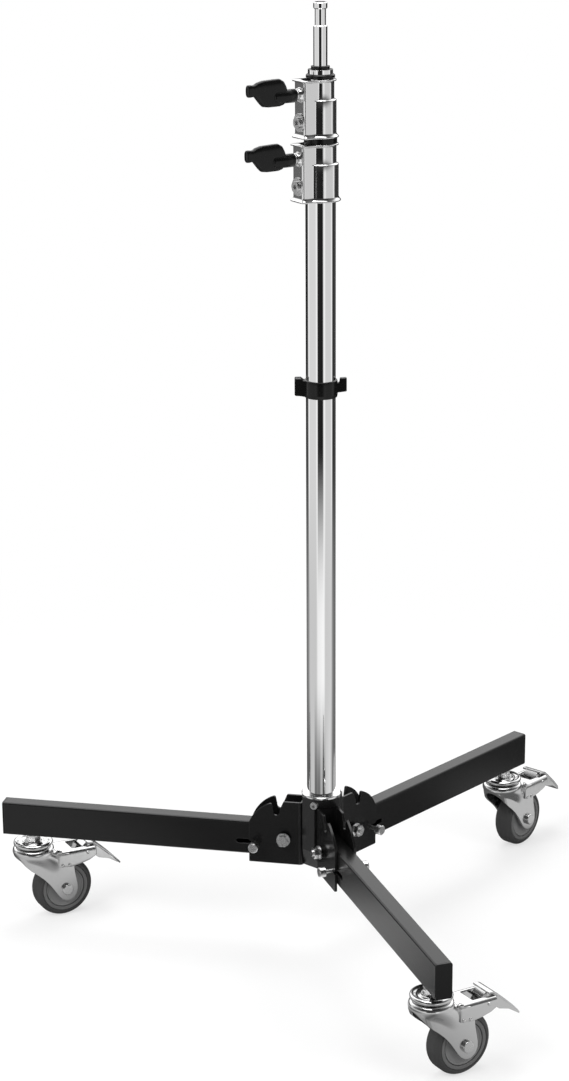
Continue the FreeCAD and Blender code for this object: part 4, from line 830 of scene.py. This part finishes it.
TYRE_HALF = [(26.6, -10.6, 0.3), (30.4, -10.6, 0.5), (31.6, -12.6, 1.0), (34.4, -12.0, 3.5), (38.0, -8.0, 5.5)]
RING_HALF = [(26.2, -12.0, 0.5), (30.6, -12.3, 0.6), (30.8, -9.0, 0.2)]
CORE_HALF = [
    (4.1, -14.0, 0.2), (8.4, -14.0, 0.8), (9.6, -9.4, 1.2), (22.5, -9.9, 2.0), (25.2, -11.9, 0.5), (25.5, -9.6, 0.3),
    (26.1, -9.6, 0.2),
]
tyre_grid, ring_grid, core_grid = (
    turned_about_axle(softened_outline(both_faces(half), steps))
    for half, steps in ((TYRE_HALF, 6), (RING_HALF, 4), (CORE_HALF, 4))
)
for side in SIDES:
    wheel = "wheel_" + side
    rubber_parts, core = [on_caster(grid, side) for grid in (tyre_grid, ring_grid)], [on_caster(core_grid, side)]
    add_piece("tread_" + side, rubber_parts, [rubber, ring_rubber], wheel, ("tyre_" + side,))
    add_piece("core_" + side, core, core_plastic, wheel, ("wheel_core_" + side,))
print("wheels of", round(2 * (tyre_grid[..., 2].max() - AXLE[1])), "mm")

# %% [markdown]
# ## Caster forks
# The fork is pressed from one sheet: a round dish for the ball race whose wall runs down into two flat
# cheeks. Each column of the grid starts on the dish's rim at one angle and ends on the sheet's lower
# edge. On the way the sheet moves in from the rim to the cheek's plane by a smooth step that ends two
# fifths of the way down, and Solidify gives it its thickness inwards.

# %% Forks
DISH_PROFILE = [
    (6.4, 99.9), (19.6, 99.9), (21.8, 99.8), (23.7, 99.1), (25.2, 97.8), (26.1, 96.0), (26.4, 94.0), (26.2, 91.8),
]
STEP_SHARE = 0.42
FORK_SHEET = 0.0029
# The lower edge: angle about the swivel axis, then the point's X, Y and Z.
FORK_EDGE = [
    (0, 25.3, 0.0, 90.5),
    (14, 26.0, -9.0, 90.0),
    (22, 28.0, -15.5, 89.0),
    (28, 33.0, -17.4, 88.0),
    (34, 45.5, -17.5, 87.0),
    (38, 47.5, -17.5, 76.0),
    (42, 48.0, -17.5, 62.0),
    (46, 50.0, -17.5, 51.0),
    (50, 52.0, -17.5, 41.0),
    (54, 52.4, -17.5, 33.0),
    (58, 49.0, -17.5, 25.5),
    (63, 43.0, -17.5, 21.6),
    (68, 36.5, -17.5, 21.4),
    (74, 29.5, -17.5, 25.8),
    (80, 25.0, -17.5, 31.5),
    (88, 20.5, -17.5, 38.5),
    (97, 14.5, -17.5, 47.5),
    (107, 7.0, -17.5, 56.5),
    (118, -1.5, -17.5, 64.5),
    (130, -10.0, -17.4, 71.5),
    (143, -17.0, -16.5, 78.5),
    (155, -21.5, -12.5, 84.5),
    (168, -24.0, -6.0, 88.5),
    (180, -24.6, 0.0, 89.5),
]


def smooth_step(t):
    """Eases from 0 to 1 with no slope at either end: 3t^2 - 2t^3."""
    t = np.clip(t, 0.0, 1.0)
    return t * t * (3 - 2 * t)


def fork_grid():
    """Rows down the dish, then rows that go in equal shares from its rim to the lower edge."""
    edge = np.array(FORK_EDGE)
    angles = np.linspace(0.0, 180.0, 145)
    near = np.stack([np.interp(angles, edge[:, 0], edge[:, column]) for column in (1, 2, 3)], -1)
    far = near[-2:0:-1] * (1, -1, 1)
    lower = np.concatenate([near, far])
    lower = (np.roll(lower, 1, 0) + 2 * lower + np.roll(lower, -1, 0)) / 4
    turn = np.radians(np.linspace(0.0, 360.0, len(lower), endpoint=False))
    rim = np.stack([np.cos(turn), -np.sin(turn), 0 * turn], -1)
    rows = [rim * (radius, radius, 0) + (0, 0, height) for radius, height in DISH_PROFILE]
    start = rows[-1]
    for share in np.linspace(0.0, 1.0, 30)[1:]:
        row = start + (lower - start) * share
        row[:, 1] = start[:, 1] + (lower[:, 1] - start[:, 1]) * smooth_step(share / STEP_SHARE)
        rows.append(row)
    return np.array(rows)


CUT_EDGE_FROM = 50


def thicken(piece, thickness, rounding):
    """Gives a sheet its thickness inwards and rounds its cut edges, not its gentler bends."""
    wall = piece.modifiers.new("thickness", "SOLIDIFY")
    wall.thickness = thickness
    wall.offset = -1.0
    round_edges(piece, rounding, CUT_EDGE_FROM)


for side in SIDES:
    grids, body = [on_caster(fork_grid(), side)], "caster_" + side
    fork = add_piece("fork_sheet_" + side, grids, bright_zinc, body, ("fork_" + side,))
    thicken(fork, FORK_SHEET, 0.0004)
print("fork sheets are", round(FORK_SHEET * 1000, 1), "mm thick")

# %% [markdown]
# ## Brake housings and pedals
# The housing is an inverted channel riveted over the fork. Its section is carried along the caster:
# up the near side, round a bend, across the top and down the far side, where the lower edge rises
# towards the outer end. The faces over the window are simply left out. The pedal's plate is a smooth
# line carried across its width: a short level root over the window, one bend past the housing's end
# and a straight slope down to the tip. A flange hangs from each long side, an arm goes down through
# the window to the cross pin, and a heel on the pin points at the tyre.

# %% Housings
HOUSING_EDGE = [(26.6, 70.5), (44.0, 68.0), (56.0, 69.5), (68.7, 72.5), (77.5, 77.0)]
HOUSING_START, HOUSING_END = HOUSING_EDGE[0][0], HOUSING_EDGE[-1][0]
HOUSING_HALF = 19.5
HOUSING_TOP = 90.4
TOP_SLOPE = 0.03
HOUSING_SHEET = 0.002
BEND = 5.5
WINDOW_START, WINDOW_END, WINDOW_HALF = 48.0, 74.5, 12.3
RIM_BEFORE, RIM_BEYOND, RIM_BESIDE = 2.5, 0.8, 1.1


def housing_faces():
    """Points by station along X and by place round the section; faces over the window are dropped.

    A narrow row of faces lies at the window's rim, so that its corners stay crisp."""
    edge = np.array(HOUSING_EDGE)
    before = np.linspace(HOUSING_START, WINDOW_START, 9)
    beside = np.linspace(WINDOW_START + RIM_BEFORE, WINDOW_END, 9)
    beyond = np.linspace(WINDOW_END + RIM_BEYOND, HOUSING_END, 3)
    along = np.concatenate([before, beside, beyond])
    foot = np.interp(along, edge[:, 0], edge[:, 1])
    bend = np.radians(np.linspace(0, 90, 9))
    corner_y, corner_z = HOUSING_HALF - BEND * (1 - np.cos(bend)), BEND * (np.sin(bend) - 1)
    top = HOUSING_TOP - (along - HOUSING_START) * TOP_SLOPE
    rise = np.linspace(0.0, 1.0, 6)[:-1]
    half_y = np.concatenate([0 * rise + HOUSING_HALF, corner_y, [WINDOW_HALF + RIM_BESIDE, WINDOW_HALF]])
    middle_y = np.linspace(WINDOW_HALF, -WINDOW_HALF, 9)[1:-1]
    y = np.concatenate([-half_y, -middle_y, half_y[::-1]])
    rows = []
    for x, low, high in zip(along, foot, top):
        side_z = low + (high - BEND - low) * rise
        half_z = np.concatenate([side_z, corner_z + high, [high, high]])
        z = np.concatenate([half_z, middle_y * 0 + high, half_z[::-1]])
        rows.append(np.stack([y * 0 + x, y, z], -1))
    grid = np.array(rows)
    faces = grid_faces(grid.shape[0], grid.shape[1], False)
    points = grid.reshape(-1, 3)
    x, y, _ = points[faces].mean(1).T
    over_window = (x > WINDOW_START) & (x < WINDOW_END) & (np.abs(y) < WINDOW_HALF)
    return points, faces[~over_window]


def add_sheet(name, points, faces, thickness, finish, body, stands_for):
    """A thin pressed piece from loose points and faces, thickened inwards with rounded cut edges."""
    mesh = bpy.data.meshes.new(name)
    mesh.from_pydata(points.tolist(), [], faces.tolist())
    weld = bmesh.new()
    weld.from_mesh(mesh)
    bmesh.ops.recalc_face_normals(weld, faces=weld.faces)
    upward = max(weld.faces, key=lambda face: face.calc_center_median().z)
    if upward.normal.z < 0:
        bmesh.ops.reverse_faces(weld, faces=weld.faces)
    weld.to_mesh(mesh)
    weld.free()
    mesh.shade_smooth()
    mesh.materials.append(finish)
    thicken(settle(name, mesh, body, stands_for), thickness, 0.0003)


RIVETS = [(31.0, 72.0), (40.5, 71.0)]
RIVET_RADIUS = 2.5
RIVET_HEIGHT = 1.3
RIVET_FOOT = HOUSING_HALF - 0.1


def rivet_head(x, z, sign):
    """A dome on the housing's side: circles that shrink with the cosine as the cap rises with the sine."""
    around = full_turn(24)
    rows = []
    for angle in np.radians(np.linspace(0, 90, 6)):
        radius, out = RIVET_RADIUS * np.cos(angle), RIVET_FOOT + RIVET_HEIGHT * np.sin(angle)
        rows.append(np.stack([x + radius * np.cos(around), sign * out + 0 * around, z + radius * np.sin(around)], -1))
    rows.insert(0, rows[0].mean(0) + 0 * rows[0])
    return np.array(rows)


points, faces = housing_faces()
for side in SIDES:
    body = "caster_" + side
    sheet, housing = on_caster(points, side), ("brake_housing_" + side,)
    add_sheet("housing_sheet_" + side, sheet, faces, HOUSING_SHEET, bright_zinc, body, housing)
    rivets = [on_caster(rivet_head(x, z, sign), side) for x, z in RIVETS for sign in (-1, 1)]
    add_piece("rivets_" + side, rivets, zinc, body)
print(len(faces), "faces in a housing's sheet")

# %% Pedals
# The line is (X, Z); the half widths and half sheet thicknesses are given at X.
PEDAL_LINE = [
    (68.5, 93.5), (72.0, 93.0), (76.0, 92.2), (79.0, 90.2), (86.0, 84.0), (96.0, 74.8), (106.0, 65.2), (112.0, 58.8),
    (114.2, 55.6),
]
SECTION_ROUNDING = 0.02
HALF_WIDTHS = [(68.5, 15.0), (100.0, 15.0), (110.0, 14.0), (114.0, 12.0)]
HALF_SHEETS = [(68.5, 1.1), (100.0, 1.1), (114.0, 0.8)]
PEDAL_PIN = (66.0, 83.0)
PIN_RADIUS = 2.0
PIN_HALF = 20.5
PIN_ROUNDING = 0.3


def smooth_line(points, count):
    """A Catmull-Rom curve: each stretch is a cubic whose slopes come from the points around it."""
    points = np.array(points, float)
    ends = np.concatenate([2 * points[:1] - points[1:2], points, 2 * points[-1:] - points[-2:-1]])
    place = np.linspace(0, len(points) - 1, count)
    index = np.minimum(place.astype(int), len(points) - 2)
    t = (place - index)[:, None]
    a, b, c, d = ends[index], ends[index + 1], ends[index + 2], ends[index + 3]
    return 0.5 * (2 * b + (c - a) * t + (2 * a - 5 * b + 4 * c - d) * t**2 + (3 * b - a - 3 * c + d) * t**3)


def pedal_plate():
    """One closed sheet: the line lifted by half the thickness each way, as wide as the pedal is there."""
    line = smooth_line(PEDAL_LINE, 40)
    along = np.gradient(line, axis=0)
    along /= np.linalg.norm(along, axis=1, keepdims=True)
    x, z = line[:, :1], line[:, 1:]
    width, thick = (np.interp(x, *np.transpose(table)) for table in (HALF_WIDTHS, HALF_SHEETS))
    corners = [(-1, -1), (1, -1), (1, 1), (-1, 1)]
    section = softened_outline([(*corner, SECTION_ROUNDING) for corner in corners], 3)
    across, lift = section[:, 0], section[:, 1]
    grid = np.stack([x - along[:, 1:] * thick * lift, width * across, z + along[:, :1] * thick * lift], -1)
    return with_ends(grid)


def pin_grid():
    """A round bar across the caster whose ends are turned down a little at the edge."""
    around = full_turn(32)
    small, inner = PIN_RADIUS - PIN_ROUNDING, PIN_HALF - PIN_ROUNDING
    stations = [(-PIN_HALF, 0.0), (-PIN_HALF, small), (-inner, PIN_RADIUS)]
    stations += [(inner, PIN_RADIUS), (PIN_HALF, small), (PIN_HALF, 0.0)]
    rows = [
        np.stack([PEDAL_PIN[0] + r * np.cos(around), around * 0 + y, PEDAL_PIN[1] + r * np.sin(around)], -1)
        for y, r in stations
    ]
    return np.array(rows)


ARM_OUTLINE = [(63.0, 79.0, 0.5), (70.3, 79.0, 0.5), (70.3, 92.8, 0.2), (68.9, 93.0, 0.2), (63.0, 88.0, 1.5)]
FLANGE_OUTLINE = [
    (79.8, 89.0, 0.3), (80.3, 73.0, 2.0), (83.7, 70.5, 3.0), (97.3, 66.4, 6.0), (106.2, 60.6, 3.0),
    (112.4, 56.6, 0.4),
]
HEEL_OUTLINE = [(63.9, 84.4, 0.5), (68.1, 81.7, 0.5), (60.0, 69.0, 0.5), (55.8, 71.7, 0.5)]
PEDAL_PARTS = [
    (ARM_OUTLINE, -9.0, 9.0), (HEEL_OUTLINE, -9.0, 9.0), (FLANGE_OUTLINE, -14.9, -13.4), (FLANGE_OUTLINE, 13.4, 14.9),
]
for side in SIDES:
    body, pedal = "pedal_" + side, ("brake_pedal_" + side,)
    grids = [on_caster(grid, side) for grid in (pedal_plate(), pin_grid())]
    add_piece("pedal_plate_" + side, grids, bright_zinc, body, pedal)
    solids = []
    for outline, low, high in PEDAL_PARTS:
        points, faces = prism(softened_outline(outline, 4), low, high, [0, 2, 1])
        solids.append((on_caster(points, side), faces))
    add_solids("pedal_arm_" + side, solids, bright_zinc, body, pedal, 0.0003)
print("a pedal reaches", PEDAL_LINE[-1][0], "mm behind its swivel axis")

# %% [markdown]
# ## Caster races
# The fixed race is a rolled ring with a valley between it and the inner rim, turned in one profile
# with the stem above and the king pin below. A smooth line runs through the measured points of the
# ring. The thin dark line between race and fork is the shade in the gap between two round shoulders.

# %% Races
RACE_RING = [
    (21.0, 101.0), (23.4, 101.6), (24.7, 103.0), (24.9, 104.6), (24.2, 106.3), (22.6, 107.4), (20.8, 107.3),
    (19.3, 106.3), (18.0, 105.1), (16.4, 104.7), (14.8, 104.9), (13.8, 105.7), (12.8, 106.7), (11.6, 106.8),
    (10.8, 105.9), (10.3, 104.8),
]
KING_PIN = [(0.0, 83.0), (9.0, 83.0), (9.0, 86.0), (6.0, 86.0), (6.0, 101.0)]
STEM = [(5.0, 104.6), (5.0, 127.0), (0.0, 127.0)]
# Width over flats, foot and top of each nut.
STEM_NUTS = [(17.0, 104.6, 115.9), (15.0, 118.0, 125.0)]
NUT_ROUNDING = 0.5


def hexagon(flats):
    """Corners of a hexagon about the swivel axis: width over flats / sqrt(3) out, 60 degrees apart."""
    turn = np.radians(np.arange(6) * 60.0)
    radius = flats / math.sqrt(3.0)
    return np.stack([STEM_REACH + radius * np.cos(turn), radius * np.sin(turn), 0 * turn + NUT_ROUNDING], -1)


race_grid = turned_upright(np.concatenate([KING_PIN, smooth_line(RACE_RING, 90), STEM]), STEM_REACH)
for side in SIDES:
    body, stem = "leg_" + side, ("caster_stem_" + side,)
    add_piece("race_ring_" + side, [on_leg(race_grid, side)], bright_zinc, body, stem)
    solids = []
    for flats, low, high in STEM_NUTS:
        points, faces = prism(softened_outline(hexagon(flats), 3), low, high, [0, 1, 2])
        solids.append((on_leg(points, side), faces))
    add_solids("stem_nuts_" + side, solids, zinc, body, stem, 0.0003)
print(len(race_grid), "rows of points from a king pin up to its stem")
